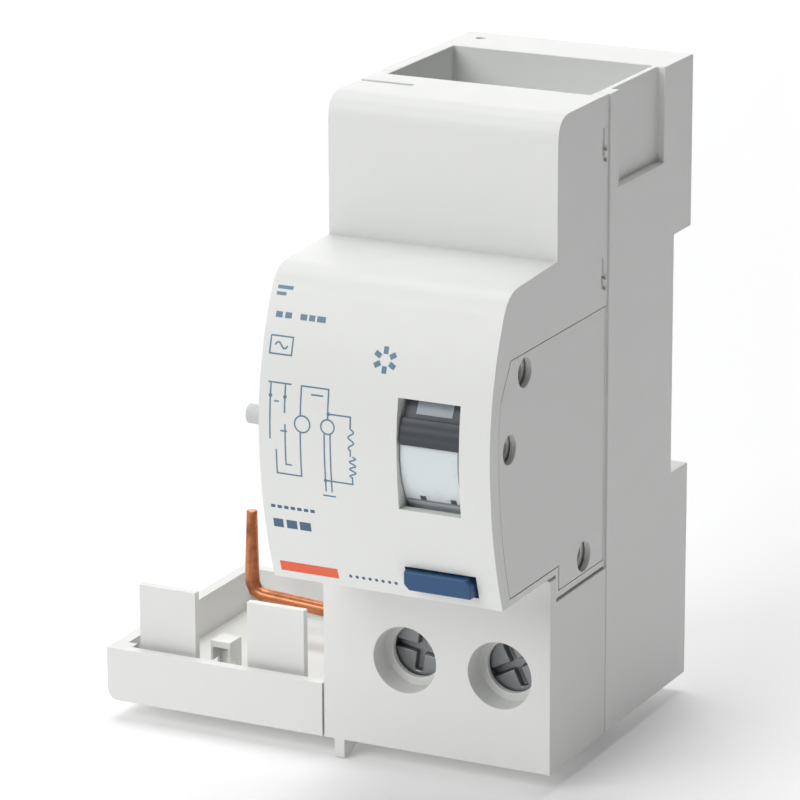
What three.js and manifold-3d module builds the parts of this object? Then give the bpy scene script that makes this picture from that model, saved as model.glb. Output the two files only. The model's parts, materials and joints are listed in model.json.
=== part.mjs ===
// Two-module residual current block that is coupled to the right side of a
// two-pole miniature circuit breaker on a 35 mm rail.
// Millimetres, +Z up, front faces -Y, right side +X.
// Origin: rail seat, middle of the 35 mm body, middle of the rail notch.
import * as THREE from 'three';
import { mergeVertices } from 'three/addons/utils/BufferGeometryUtils.js';
import Module from 'manifold-3d';

// ---------------------------------------------------------------- overall sizes
const MODULE = 17.5; // one module width on the rail
const BODY_WIDTH = 2 * MODULE;
const BODY_TOP = 42.6;
const BODY_BOTTOM = -49.8;
const BODY_REAR = 6; // rear faces above and below the rail notch
const WALL = 1.6; // moulded wall
const GAP = 0.3; // air between pieces that touch
const FIT = 0.3; // play round pins and slides
const EPS = 0.5; // overlength of cutting tools
const HALF = BODY_WIDTH / 2;
const INNER = HALF - WALL;
const ROUND = 24; // facets of a visible bore or pin
const ROUND_SMALL = 12;

// rail and its notch
const RAIL_HEIGHT = 35;
const NOTCH_HALF = RAIL_HEIGHT / 2 + 0.15;
const SEAT_WALL = 2; // wall behind the rail seat

// parting plane between the rear base and the front mouldings
const PART_Y = -22.5;
const REAR_FRONT = PART_Y + GAP / 2;
const FRONT_BACK = PART_Y - GAP / 2;

// upper block and nose of the front cover
const COVER_HALF = HALF - 0.3;
const COVER_INNER = COVER_HALF - WALL;
const BLOCK_FRONT = -38.9;
const BLOCK_FOOT = 22.9;
const BLOCK_ROUND = 3.6;
const NOSE_TOP = BLOCK_FOOT - 0.7;
const NOSE_BOTTOM = -21.3;
const NOSE_FRONT = -59.8;
const NOSE = { crest: 1, radiusAbove: 40, radiusBelow: 61, round: 3, steps: 14 };
const SHOULDER_Y = BLOCK_FRONT + 0.1;
const SHOULDER_Z = NOSE_BOTTOM - 3.5;

// wiring pocket at the top, with a shallow recess outside its right wall
const RECESS = { depth: 1.2, y0: -19.5, y1: -4, z0: BODY_TOP - 13.6 };
const POCKET_HALF = HALF - RECESS.depth - 0.9;
const POCKET_REAR = RECESS.y1 + 0.5;
const POCKET_FLOOR = 17;
const POCKET_FRONT = PART_Y - 2;

// terminal housing
const TERM_FRONT = -41;
const TERM_TOP = NOSE_BOTTOM - GAP;
const TERM_PITCH = 14.6;
const TERM_X = [HALF - 7.7 - TERM_PITCH, HALF - 7.7];
const TERM_Z = BODY_BOTTOM + 13.4;
const SCREW_HOLE = { mouth: 4.85, mouthDepth: 4, throat: 3.8, throatDepth: 0.9 };
const SNAP = { x0: -INNER, x1: -INNER + 1.6, drop: 2.7, tip: 1.5, length: 8 };
const DIVIDER = { x: (TERM_X[0] + TERM_X[1]) / 2, half: 0.6, top: SHOULDER_Z - 2.2 };

// terminal screw, cage and bar
const HEAD = { radius: 4.2, height: 2.2, slot: 1.1, slotDepth: 1.1 };
const SHANK = 2.5;
const HEAD_FRONT = TERM_FRONT + SCREW_HOLE.mouthDepth + SCREW_HOLE.throatDepth + GAP;
const BAR = { front: PART_Y - 1.5, thick: 1.5, half: 3.1, drop: 6.1, top: SHOULDER_Z - 1.2 };
const CAGE = { half: 4.7, wall: 1.4, height: 8, lift: 3.2, open: 7 };
const CAGE_FRONT = HEAD_FRONT + HEAD.height + GAP + CAGE.lift; // when open
const CAGE_REAR = BAR.front + BAR.thick + CAGE.open + CAGE.wall;
const ENTRY = { half: 4, y0: BAR.front + 0.8, y1: CAGE_REAR - CAGE.wall + GAP };

// pole conductors and the differential transformer that they pass through
const WIRE = 1.3; // conductor radius
const PIN = { y: CAGE_REAR + WIRE + 0.8, tip: -28.5 };
const RUN_Z = [BODY_BOTTOM + 6.8, BODY_BOTTOM + 11.2];
const RISE_X = [3, -3];
const DOWN_X = INNER - WIRE - FIT - 0.1;
const TORUS_OUTER = DOWN_X - WIRE - 0.5;
const TORUS_RING = 5.9; // from the hole to the outside
const TORUS = {
  y: -SEAT_WALL - 0.5 - TORUS_OUTER, z: -8, outer: TORUS_OUTER,
  inner: TORUS_OUTER - TORUS_RING, height: 9,
};
const CORE = { inner: TORUS.inner + 1.7, outer: TORUS.outer - 1.6, height: TORUS.height - 2.6 };
const OVER_Z = TORUS.z + TORUS.height / 2 + WIRE + 4.4;
const DROP = { high: SHOULDER_Z + 0.8, middle: SHOULDER_Z - 1.7, low: SHOULDER_Z - 5.7 };
const PIN_SAG = 1.6; // the far pin's run slopes down towards the body
const BEND = 2.4;
const WIRE_STEPS = 110;

// breaker tray on the left
const TRAY = {
  width: BODY_WIDTH - 0.1, top: BODY_BOTTOM + 7.9, rear: 1, floor: 1.8, side: 1.8, corner: 3.3,
  seat: 0.3,
};
const TAB = { half: 4.55, top: TRAY.top + 9.3, y: TERM_FRONT + 2.6, thick: 1.2, side: 6 };
const LUG = {
  reach: 2.6, half: 2.2, height: 3, z: BODY_BOTTOM + 3.8, front: TERM_FRONT + 8, rear: -5.6,
};
const TRAY_RIGHT = -HALF - GAP;
const BREAKER_POLES = [TRAY_RIGHT - 1.5 * MODULE, TRAY_RIGHT - MODULE / 2];
const HOOK = {
  x: (BREAKER_POLES[0] + BREAKER_POLES[1]) / 2 - 1.5, half: 1.6, y0: TAB.y + 2.4, depth: 3.4,
  top: TRAY.top + 1.7, notch: TRAY.top - 1.3, lip: 1.4,
};

// reset toggle
const TOGGLE_RADIUS = 12;
const TOGGLE = {
  y: NOSE_FRONT + WALL + GAP + TOGGLE_RADIUS, z: 0, radius: TOGGLE_RADIUS, shell: 1.6,
  x0: COVER_INNER - 11.7, x1: COVER_INNER - 3.3, hub: 3.2, pin: 1,
};
const TOGGLE_LOW = -44; // angles of the drum face, degrees above the forward line
const TOGGLE_HIGH = 84;
const GRIP = { low: 6, high: 23, proud: 1.2, sink: 0.6 };
const WINDOW = { x0: TOGGLE.x0 - 0.4, x1: TOGGLE.x1 + 0.4, z0: -7.9, z1: 7.6 };
const TOGGLE_SPRING = { wire: 0.3, radius: 4.2, length: 4, turns: 3 };

// test button, its spring and contacts, one behind the other in the foot of the nose
const BUTTON = {
  x0: TOGGLE.x0 - 0.2, x1: TOGGLE.x1 + 1.4, z0: NOSE_BOTTOM + WALL + 0.2, height: 2.7,
  chamfer: 0.8, front: NOSE_FRONT + 1.5, depth: 7.8, flange: 4.3, flangeThick: 1, rise: 1.6,
  stem: 0.9, stemLength: 5,
};
const BUTTON_X = (BUTTON.x0 + BUTTON.x1) / 2;
const BUTTON_Z = BUTTON.z0 + BUTTON.height / 2;
const BUTTON_BACK = BUTTON.front + BUTTON.depth;
const STEM_END = BUTTON_BACK + BUTTON.stemLength;
const SEAT = { half: 3.2, thick: 0.8, y: STEM_END - 0.8, rise: 3 };
const BUTTON_SPRING = { wire: 0.22, radius: 1.25, turns: 5 };
const LEAF = {
  thick: 0.4, foot: 1.2, half: 1.9, y: STEM_END + GAP, z0: NOSE_BOTTOM + WALL + GAP, z1: -6,
};
const CONTACT = { y: LEAF.y + 2.6, thick: 0.8, half: 1.9, z1: -9, dot: 1.1 };

// relay in the upper block
const RELAY_BACK = POCKET_FRONT - WALL - 0.6;
const RELAY_DEPTH = (RELAY_BACK - BLOCK_FRONT - WALL - 0.6) / 2;
const RELAY_TOP = BODY_TOP - 8.6;
const RELAY = {
  x: -6, y: RELAY_BACK - RELAY_DEPTH, z0: RELAY_TOP - 17, z1: RELAY_TOP,
  half: 6, plate: 1.2, depth: RELAY_DEPTH,
};
const COIL = { radius: 4.3, bore: 1.9, flange: 0.9, waist: 1 };
const RELAY_SPRING = { wire: 0.22, radius: 1.95, turns: 4 };

// trip shaft, trip lever and the plate that carries their pins
const PLATE = { x0: 1.6, x1: 2.8, y0: TOGGLE.y - 4.1, y1: TORUS.y - TORUS.outer - 2.7, z0: -14, z1: 12 };
const SHAFT = {
  y: NOSE_FRONT + 6.3, z: 0.6, radius: 1.35, x0: -COVER_HALF - 4.7, x1: PLATE.x0 - 0.6,
};
const SHAFT_ARM = { x0: -8, x1: -5, reach: 7, half: 1 };
const LEVER_HALF = 0.9;
const LEVER = { y: SHAFT.y + 13.5, z: 7, hub: 2, x0: -8, x1: -4, front: 6.5, half: LEVER_HALF };
const LEVER_PIN = 0.9;
const PLUNGER = {
  radius: 1.4, z0: LEVER.z + LEVER.half + GAP, z1: RELAY.z1 - 3, collar: 2.4,
  collarZ: RELAY.z0 - 4.2, collarThick: 0.8,
};
const LEVER_REAR = RELAY.y - LEVER.y + PLUNGER.radius + GAP;

// flush panel in the right side, with its moulded holes
const PANEL = {
  thick: 0.9, top: 12.6, lip: 1.2, corner: 5, margin: 3,
  holes: [
    { y: NOSE_FRONT + 10.9, z: 10, radius: 2.1 },
    { y: SHAFT.y, z: SHAFT.z, radius: 2.05 },
    { y: PART_Y - 7.1, z: NOSE_BOTTOM + 0.1, radius: 2.2 },
  ],
};

// circuit board
const BOARD_RIGHT = COVER_INNER - 0.8;
const BOARD = {
  x0: BOARD_RIGHT - 11.3, x1: BOARD_RIGHT, y: BLOCK_FRONT + WALL + GAP, thick: 1.2,
  z0: BODY_TOP - 26.6, z1: BODY_TOP - 4.6,
};
const CAPACITOR = { z: BOARD.z1 - 7, radius: 4, height: 6.6 };
const RESISTOR = { z: BOARD.z0 + 4.5, radius: 1.5, margin: 1.45 };

// rail clip, guided in a T-shaped slot at the rear
const CLIP_TOP = -NOTCH_HALF - 0.55;
const CLIP = {
  half: 5, flange: 6.2, y0: 1.1, y1: 5.4, flangeY: 2.6, toe: 3.6, z0: BODY_BOTTOM - 2.2,
  z1: CLIP_TOP, hookTop: CLIP_TOP + 3, hookY: 3.2, pocket: 2, pocketZ0: CLIP_TOP - 17.8,
  pocketZ1: CLIP_TOP - 3.8, pegTop: CLIP_TOP - 15.8, peg: 1.6,
};
const CLIP_SLOT_FLOOR = CLIP.y0 - FIT;
const CLIP_SPRING = { wire: 0.35, radius: 1.4, turns: 5 };

const SPRING_FACETS = 6; // section of a spring wire

// ---------------------------------------------------------------- colours
const WHITE = material(0xe9e9e5, 0.55);
const GREY_WHITE = material(0xe0e1de, 0.6);
const PANEL_WHITE = material(0xdcdfde, 0.6);
const DRUM_WHITE = material(0xe2ebeb, 0.4);
const CHARCOAL = material(0x3c4149, 0.5);
const BLUE = material(0x2d5585, 0.45);
const COPPER = material(0xb4603c, 0.35, 1);
const BRASS = material(0xb9975a, 0.35, 1);
const STEEL = material(0x8b8f93, 0.4, 1);
const DARK_STEEL = material(0x4a4d50, 0.45, 1);
const GREY = material(0x9a9da0, 0.6);
const CORE_GREY = material(0x5b5f66, 0.6);
const ENAMEL = material(0x8c3b1e, 0.35);
const BOARD_GREEN = material(0x2e6b45, 0.5);
const BLACK = material(0x222326, 0.4);
const TAN = material(0xc9a878, 0.5);

function material(color, roughness, metalness = 0) {
  return new THREE.MeshStandardMaterial({ color, roughness, metalness });
}

// ---------------------------------------------------------------- solid helpers
const wasm = await Module();
wasm.setup();

function bare(geometry) {
  geometry.deleteAttribute('normal');
  geometry.deleteAttribute('uv');
  return mergeVertices(geometry, 1e-5);
}

function solid(geometry) {
  const clean = bare(geometry);
  const vertProperties = new Float32Array(clean.attributes.position.array);
  const triVerts = new Uint32Array(clean.index.array);
  return new wasm.Manifold(new wasm.Mesh({ numProp: 3, vertProperties, triVerts }));
}

function geometryOf(body) {
  const mesh = body.getMesh();
  const geometry = new THREE.BufferGeometry();
  geometry.setAttribute('position', new THREE.BufferAttribute(mesh.vertProperties, 3));
  geometry.setIndex(new THREE.BufferAttribute(mesh.triVerts, 1));
  return geometry;
}

function box(x0, x1, y0, y1, z0, z1) {
  const geometry = new THREE.BoxGeometry(x1 - x0, y1 - y0, z1 - z0);
  geometry.translate((x0 + x1) / 2, (y0 + y1) / 2, (z0 + z1) / 2);
  return solid(geometry);
}

// polygon of [y, z] points extruded along X
function prismX(points, x0, x1) {
  const shape = new THREE.Shape(points.map(([y, z]) => new THREE.Vector2(y, z)));
  const geometry = new THREE.ExtrudeGeometry(shape, { depth: x1 - x0, bevelEnabled: false });
  const turn = new THREE.Matrix4().set(0, 0, 1, x0, 1, 0, 0, 0, 0, 1, 0, 0, 0, 0, 0, 1);
  geometry.applyMatrix4(turn);
  return solid(geometry);
}

// polygon of [x, z] points extruded along Y
function prismY(points, y0, y1) {
  const shape = new THREE.Shape(points.map(([x, z]) => new THREE.Vector2(x, z)));
  const geometry = new THREE.ExtrudeGeometry(shape, { depth: y1 - y0, bevelEnabled: false });
  geometry.rotateX(Math.PI / 2);
  geometry.translate(0, y1, 0);
  return solid(geometry);
}

function rodX(y, z, radius, x0, x1, facets = ROUND) {
  const geometry = new THREE.CylinderGeometry(radius, radius, x1 - x0, facets);
  geometry.rotateZ(Math.PI / 2);
  geometry.translate((x0 + x1) / 2, y, z);
  return solid(geometry);
}

function rodY(x, z, radius, y0, y1, facets = ROUND) {
  const geometry = new THREE.CylinderGeometry(radius, radius, y1 - y0, facets);
  geometry.translate(x, (y0 + y1) / 2, z);
  return solid(geometry);
}

function rodZ(x, y, radius, z0, z1, facets = ROUND) {
  const geometry = new THREE.CylinderGeometry(radius, radius, z1 - z0, facets);
  geometry.rotateX(Math.PI / 2);
  geometry.translate(x, y, (z0 + z1) / 2);
  return solid(geometry);
}

function join(first, ...others) {
  return others.reduce((whole, piece) => whole.add(piece), first);
}

function cut(first, ...tools) {
  return tools.reduce((whole, tool) => whole.subtract(tool), first);
}

// straight runs through the points with rounded corners
function roundedPath(points, radius) {
  const path = new THREE.CurvePath();
  let from = points[0];
  for (let i = 1; i < points.length - 1; i += 1) {
    const corner = points[i];
    const before = corner.clone().sub(points[i - 1]).setLength(radius);
    const after = points[i + 1].clone().sub(corner).setLength(radius);
    const start = corner.clone().sub(before);
    const end = corner.clone().add(after);
    path.add(new THREE.LineCurve3(from, start));
    path.add(new THREE.QuadraticBezierCurve3(start, corner, end));
    from = end;
  }
  path.add(new THREE.LineCurve3(from, points[points.length - 1]));
  return path;
}

function sweep(path, radius, facets, steps) {
  const ring = new THREE.Shape();
  for (let i = 0; i < facets; i += 1) {
    const angle = (2 * Math.PI * i) / facets;
    const x = radius * Math.cos(angle);
    const y = radius * Math.sin(angle);
    if (i === 0) {
      ring.moveTo(x, y);
    } else {
      ring.lineTo(x, y);
    }
  }
  ring.closePath();
  return new THREE.ExtrudeGeometry(ring, { steps, extrudePath: path, bevelEnabled: false });
}

class Helix extends THREE.Curve {
  constructor(radius, height, turns) {
    super();
    this.radius = radius;
    this.height = height;
    this.turns = turns;
  }

  getPoint(t, target = new THREE.Vector3()) {
    const angle = 2 * Math.PI * this.turns * t;
    const x = this.radius * Math.cos(angle);
    const y = this.radius * Math.sin(angle);
    return target.set(x, y, this.height * t);
  }
}

// coil spring standing on its own origin along +Z
function springGeometry(wire, radius, height, turns) {
  const coil = new Helix(radius, height - 2 * wire, turns);
  const geometry = sweep(coil, wire, SPRING_FACETS, turns * ROUND_SMALL);
  geometry.translate(0, 0, wire);
  return geometryOf(solid(geometry));
}

const device = new THREE.Group();
device.name = 'residual_current_block';

function place(name, body, look, position = [0, 0, 0], parent = device) {
  const geometry = body instanceof THREE.BufferGeometry ? body : geometryOf(body);
  geometry.computeVertexNormals();
  const mesh = new THREE.Mesh(geometry, look);
  mesh.name = name;
  mesh.position.set(...position);
  parent.add(mesh);
  return mesh;
}

// ---------------------------------------------------------------- rear base
// T-shaped guide of the rail clip, open at the rear and at both ends
function clipSlot() {
  const top = -NOTCH_HALF + EPS;
  const mouth = box(-CLIP.half - FIT, CLIP.half + FIT, CLIP_SLOT_FLOOR, BODY_REAR + EPS,
    BODY_BOTTOM - EPS, top);
  const undercut = box(-CLIP.flange - FIT, CLIP.flange + FIT, CLIP_SLOT_FLOOR,
    CLIP.flangeY + FIT, BODY_BOTTOM - EPS, top);
  return join(mouth, undercut);
}

// the clip spring stands on this peg, inside the clip's pocket
function clipPeg() {
  return box(-CLIP.peg, CLIP.peg, CLIP_SLOT_FLOOR - EPS, CLIP.y1 - GAP,
    CLIP.pegTop - CLIP.peg, CLIP.pegTop);
}

function wireEntries(z0, z1) {
  return TERM_X.map((x) => box(x - ENTRY.half, x + ENTRY.half, ENTRY.y0, ENTRY.y1, z0, z1));
}

function lugHole(y) {
  const halfY = LUG.half + FIT;
  const halfZ = LUG.height / 2 + FIT;
  return box(-HALF - EPS, -INNER + EPS, y - halfY, y + halfY, LUG.z - halfZ, LUG.z + halfZ);
}

function pinSlots() {
  const reach = WIRE + 2 * FIT;
  return box(-HALF - EPS, -INNER + EPS, PIN.y - reach, PIN.y + reach,
    RUN_Z[0] - reach, RUN_Z[1] + reach);
}

function rearBase() {
  const block = box(-HALF, HALF, REAR_FRONT, BODY_REAR, BODY_BOTTOM, BODY_TOP);
  const notch = box(-HALF - EPS, HALF + EPS, 0, BODY_REAR + EPS, -NOTCH_HALF, NOTCH_HALF);
  const cavityTop = POCKET_FLOOR - WALL;
  const cavity = box(-INNER, INNER, REAR_FRONT - EPS, -SEAT_WALL, BODY_BOTTOM + WALL, cavityTop);
  const pocket = box(-POCKET_HALF, POCKET_HALF, REAR_FRONT - EPS, POCKET_REAR,
    POCKET_FLOOR, BODY_TOP + EPS);
  const recess = box(HALF - RECESS.depth, HALF + EPS, RECESS.y0, RECESS.y1,
    RECESS.z0, BODY_TOP + EPS);
  const traySeat = box(-HALF - EPS, -HALF + TRAY.seat, REAR_FRONT - EPS, BODY_REAR + EPS,
    BODY_BOTTOM - EPS, TRAY.top + GAP);
  const divider = box(DIVIDER.x - DIVIDER.half, DIVIDER.x + DIVIDER.half,
    REAR_FRONT, ENTRY.y1, BODY_BOTTOM + EPS, DIVIDER.top);
  const shell = cut(block, notch, cavity, pocket, recess, clipSlot(), lugHole(LUG.rear),
    pinSlots(), traySeat);
  const entries = wireEntries(BODY_BOTTOM - EPS, BODY_BOTTOM + WALL + EPS);
  return cut(join(shell, divider, clipPeg()), ...entries);
}

place('rear_base', rearBase(), WHITE);

// ---------------------------------------------------------------- front cover
// nose front: one arc above its crest and a flatter one below
function noseFront(z) {
  const radius = z > NOSE.crest ? NOSE.radiusAbove : NOSE.radiusBelow;
  return NOSE_FRONT + (z - NOSE.crest) ** 2 / (2 * radius);
}

function noseArc(zHigh, zLow, inset, steps) {
  const points = [];
  for (let i = 0; i <= steps; i += 1) {
    const z = zHigh + ((zLow - zHigh) * i) / steps;
    points.push([noseFront(z) + inset, z]);
  }
  return points;
}

// corner of an outline rounded between its two neighbours
function roundCorner(before, corner, after, radius, steps) {
  const middle = new THREE.Vector2(...corner);
  const start = new THREE.Vector2(...before).sub(middle).setLength(radius).add(middle);
  const end = new THREE.Vector2(...after).sub(middle).setLength(radius).add(middle);
  const curve = new THREE.QuadraticBezierCurve(start, middle, end);
  return curve.getPoints(steps).map((point) => [point.x, point.y]);
}

// side outline of the cover, or of its hollow when inset by the wall
function coverOutline(inset) {
  const rear = inset > 0 ? FRONT_BACK + EPS : FRONT_BACK;
  const top = BODY_TOP - inset;
  const front = BLOCK_FRONT + inset;
  const foot = [front, BLOCK_FOOT - inset];
  const noseTop = NOSE_TOP - inset;
  const arc = noseArc(NOSE_TOP - NOSE.round, NOSE_BOTTOM + inset, inset, NOSE.steps);
  const shoulder = SHOULDER_Y + inset;
  const floor = inset > 0 ? SHOULDER_Z - EPS : SHOULDER_Z;
  return [
    [rear, top],
    ...roundCorner([rear, top], [front, top], foot, BLOCK_ROUND, 5),
    foot,
    ...roundCorner(foot, [noseFront(NOSE_TOP) + inset, noseTop], arc[0], NOSE.round - inset, 4),
    ...arc,
    [shoulder, NOSE_BOTTOM + inset], [shoulder, floor], [rear, floor],
  ];
}

// flush panel that closes the right side of the mechanism
function panelOutline() {
  const low = NOSE_BOTTOM + PANEL.lip;
  const rear = FRONT_BACK - PANEL.lip / 2;
  const foot = SHOULDER_Z + PANEL.lip;
  const step = SHOULDER_Y + PANEL.lip;
  return [
    [rear, PANEL.top], [noseFront(PANEL.top) + PANEL.corner, PANEL.top],
    ...noseArc(PANEL.top - PANEL.corner, low, PANEL.margin, 8),
    [step, low], [step, foot], [rear, foot],
  ];
}

// the panel's seat: its outline shifted every way by the gap
function panelSeat(x0, x1) {
  const shifts = [[-GAP, -GAP], [-GAP, GAP], [GAP, -GAP], [GAP, GAP]];
  const cuts = shifts.map(([dy, dz]) => {
    const outline = panelOutline().map(([y, z]) => [y + dy, z + dz]);
    return prismX(outline, x0, x1);
  });
  return join(...cuts);
}

function frontCover() {
  const body = prismX(coverOutline(0), -COVER_HALF, COVER_HALF);
  const hollow = prismX(coverOutline(WALL), -COVER_INNER, COVER_INNER);
  const partition = box(-COVER_INNER - EPS, COVER_INNER + EPS, POCKET_FRONT - WALL, POCKET_FRONT,
    POCKET_FLOOR - WALL, BODY_TOP - EPS);
  const pocketFront = box(-POCKET_HALF, POCKET_HALF, POCKET_FRONT, FRONT_BACK + EPS,
    POCKET_FLOOR, BODY_TOP + EPS);
  const window = box(WINDOW.x0, WINDOW.x1, NOSE_FRONT - EPS, TOGGLE.y, WINDOW.z0, WINDOW.z1);
  const button = box(BUTTON.x0 - FIT, BUTTON.x1 + FIT, NOSE_FRONT - EPS, BUTTON_BACK,
    BUTTON.z0 - FIT, BUTTON.z0 + BUTTON.height + FIT);
  const seat = panelSeat(COVER_HALF - PANEL.thick - GAP, COVER_HALF + EPS);
  const shaftBore = rodX(SHAFT.y, SHAFT.z, SHAFT.radius + FIT, -COVER_HALF - EPS, 0);
  const sill = box(-COVER_INNER - EPS, COVER_INNER + EPS, POCKET_FRONT - WALL, FRONT_BACK,
    POCKET_FLOOR - WALL, POCKET_FLOOR);
  const shell = join(cut(body, hollow), partition, sill);
  return cut(shell, pocketFront, window, button, seat, shaftBore);
}

function sidePanel() {
  const plate = prismX(panelOutline(), COVER_HALF - PANEL.thick, COVER_HALF);
  const holes = PANEL.holes.map((hole) => rodX(hole.y, hole.z, hole.radius,
    COVER_HALF - PANEL.thick - EPS, COVER_HALF + EPS));
  return cut(plate, ...holes);
}

place('front_cover', frontCover(), WHITE);
place('side_panel', sidePanel(), PANEL_WHITE);

// ---------------------------------------------------------------- terminal housing
const TERM_OUTLINE = [
  [TERM_FRONT, BODY_BOTTOM], [TERM_FRONT, TERM_TOP], [SHOULDER_Y - GAP, TERM_TOP],
  [SHOULDER_Y - GAP, SHOULDER_Z - GAP], [FRONT_BACK, SHOULDER_Z - GAP], [FRONT_BACK, BODY_BOTTOM],
];

function terminalHousing() {
  const throatEnd = TERM_FRONT + SCREW_HOLE.mouthDepth + SCREW_HOLE.throatDepth;
  const block = prismX(TERM_OUTLINE.slice().reverse(), -HALF, HALF);
  const hollow = box(-INNER, INNER, throatEnd, FRONT_BACK + EPS, BODY_BOTTOM + WALL,
    SHOULDER_Z - GAP - WALL);
  const roofSlot = box(-INNER, INNER, BAR.front - 2 * WALL, FRONT_BACK + EPS,
    SHOULDER_Z - GAP - WALL - EPS, SHOULDER_Z);
  const divider = box(DIVIDER.x - DIVIDER.half, DIVIDER.x + DIVIDER.half, throatEnd - EPS,
    FRONT_BACK, BODY_BOTTOM + EPS, DIVIDER.top + EPS);
  const snap = prismX([
    [TERM_FRONT, BODY_BOTTOM + EPS], [TERM_FRONT, BODY_BOTTOM - SNAP.drop],
    [TERM_FRONT + SNAP.tip, BODY_BOTTOM - SNAP.drop], [TERM_FRONT + SNAP.length, BODY_BOTTOM],
    [TERM_FRONT + SNAP.length, BODY_BOTTOM + EPS],
  ], SNAP.x0, SNAP.x1);
  const mouths = TERM_X.map((x) => rodY(x, TERM_Z, SCREW_HOLE.mouth, TERM_FRONT - EPS,
    TERM_FRONT + SCREW_HOLE.mouthDepth, 2 * ROUND));
  const throats = TERM_X.map((x) => rodY(x, TERM_Z, SCREW_HOLE.throat, TERM_FRONT, throatEnd + EPS,
    2 * ROUND));
  const shell = join(cut(block, hollow, roofSlot), divider, snap);
  const entries = wireEntries(BODY_BOTTOM - EPS, BODY_BOTTOM + WALL + EPS);
  return cut(shell, ...mouths, ...throats, ...entries, lugHole(LUG.front));
}

place('terminal_housing', terminalHousing(), GREY_WHITE);

// ---------------------------------------------------------------- breaker tray
function breakerTray() {
  const left = TRAY_RIGHT - TRAY.width;
  const floor = BODY_BOTTOM + TRAY.floor;
  const inFront = TERM_FRONT + WALL;
  const block = box(left, TRAY_RIGHT, TERM_FRONT, TRAY.rear, BODY_BOTTOM, TRAY.top);
  const hollow = box(left + TRAY.side, TRAY_RIGHT + EPS, inFront, TRAY.rear - WALL,
    floor, TRAY.top + EPS);
  const cornerBlock = box(left + TRAY.side - EPS, left + TRAY.corner, inFront - EPS,
    inFront + WALL, floor - EPS, TRAY.top);
  const tabs = BREAKER_POLES.flatMap((x) => [
    box(x - TAB.half, x + TAB.half, TAB.y, TAB.y + TAB.thick, floor - EPS, TAB.top),
    box(x - TAB.half, x - TAB.half + TAB.thick, TAB.y + TAB.thick - EPS, TAB.y + TAB.side,
      floor - EPS, TRAY.top),
  ]);
  const lugs = [LUG.front, LUG.rear].flatMap((y) => [
    box(TRAY_RIGHT - EPS, TRAY_RIGHT + LUG.reach, y - LUG.half, y + LUG.half,
      LUG.z - LUG.height / 2, LUG.z + LUG.height / 2),
    box(TRAY_RIGHT - WALL, TRAY_RIGHT, y - LUG.half - 1, y + LUG.half + 1,
      floor - EPS, TRAY.top - GAP),
  ]);
  return join(cut(block, hollow), cornerBlock, ...tabs, ...lugs, trayHook());
}

function trayHook() {
  const floor = BODY_BOTTOM + TRAY.floor;
  const rear = HOOK.y0 + HOOK.depth;
  const post = box(HOOK.x - HOOK.half, HOOK.x + HOOK.half, HOOK.y0, rear, floor - EPS, HOOK.top);
  const notch = box(HOOK.x - HOOK.half - EPS, HOOK.x + HOOK.half + EPS, HOOK.y0 - EPS,
    rear - HOOK.lip, floor, HOOK.notch);
  return cut(post, notch);
}

place('breaker_tray', breakerTray(), GREY_WHITE);

// ---------------------------------------------------------------- reset toggle
function arcPoints(radius, low, high, steps) {
  const points = [];
  for (let i = 0; i <= steps; i += 1) {
    const angle = THREE.MathUtils.degToRad(low + ((high - low) * i) / steps);
    points.push([-radius * Math.cos(angle), radius * Math.sin(angle)]);
  }
  return points;
}

function ringSector(inner, outer, low, high, x0, x1, steps) {
  const outerArc = arcPoints(outer, low, high, steps);
  const innerArc = arcPoints(inner, low, high, steps).reverse();
  return prismX([...outerArc, ...innerArc].reverse(), x0, x1);
}

function gripSocket(clearance) {
  const slack = THREE.MathUtils.radToDeg(clearance / TOGGLE.radius);
  return ringSector(TOGGLE.radius - GRIP.sink - clearance, TOGGLE.radius + EPS + clearance,
    GRIP.low - slack, GRIP.high + slack, TOGGLE.x0 - EPS, TOGGLE.x1 + EPS, 6);
}

function toggleDrum() {
  const face = ringSector(TOGGLE.radius - TOGGLE.shell, TOGGLE.radius, TOGGLE_LOW, TOGGLE_HIGH,
    TOGGLE.x0, TOGGLE.x1, 20);
  const webs = [TOGGLE.x0, TOGGLE.x1 - TOGGLE.shell].map((x) => {
    const rim = arcPoints(TOGGLE.radius - TOGGLE.shell / 2, TOGGLE_LOW + 2, TOGGLE_HIGH - 2, 12);
    return prismX([...rim, [TOGGLE.hub, 0]].reverse(), x, x + TOGGLE.shell);
  });
  const hub = rodX(0, 0, TOGGLE.hub, TOGGLE.x0, TOGGLE.x1);
  const bore = rodX(0, 0, TOGGLE.pin + FIT, TOGGLE.x0 - EPS, TOGGLE.x1 + EPS);
  return cut(join(face, ...webs, hub), bore, gripSocket(GAP));
}

function toggleGrip() {
  const root = TOGGLE.radius - GRIP.sink;
  const tip = TOGGLE.radius + GRIP.proud;
  return ringSector(root, tip, GRIP.low, GRIP.high, TOGGLE.x0, TOGGLE.x1, 6);
}

const togglePlace = [0, TOGGLE.y, TOGGLE.z];
place('toggle_drum', toggleDrum(), DRUM_WHITE, togglePlace);
place('toggle_grip', toggleGrip(), CHARCOAL, togglePlace);
place('toggle_pin', rodX(0, 0, TOGGLE.pin, PLATE.x0 - 1, COVER_INNER - GAP, ROUND_SMALL), STEEL,
  togglePlace);

const toggleSpring = place('toggle_spring', springGeometry(TOGGLE_SPRING.wire, TOGGLE_SPRING.radius,
  TOGGLE_SPRING.length, TOGGLE_SPRING.turns), STEEL,
  [TOGGLE.x0 + TOGGLE.shell + 2 * GAP, TOGGLE.y, TOGGLE.z]);
toggleSpring.rotation.y = Math.PI / 2;

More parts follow.
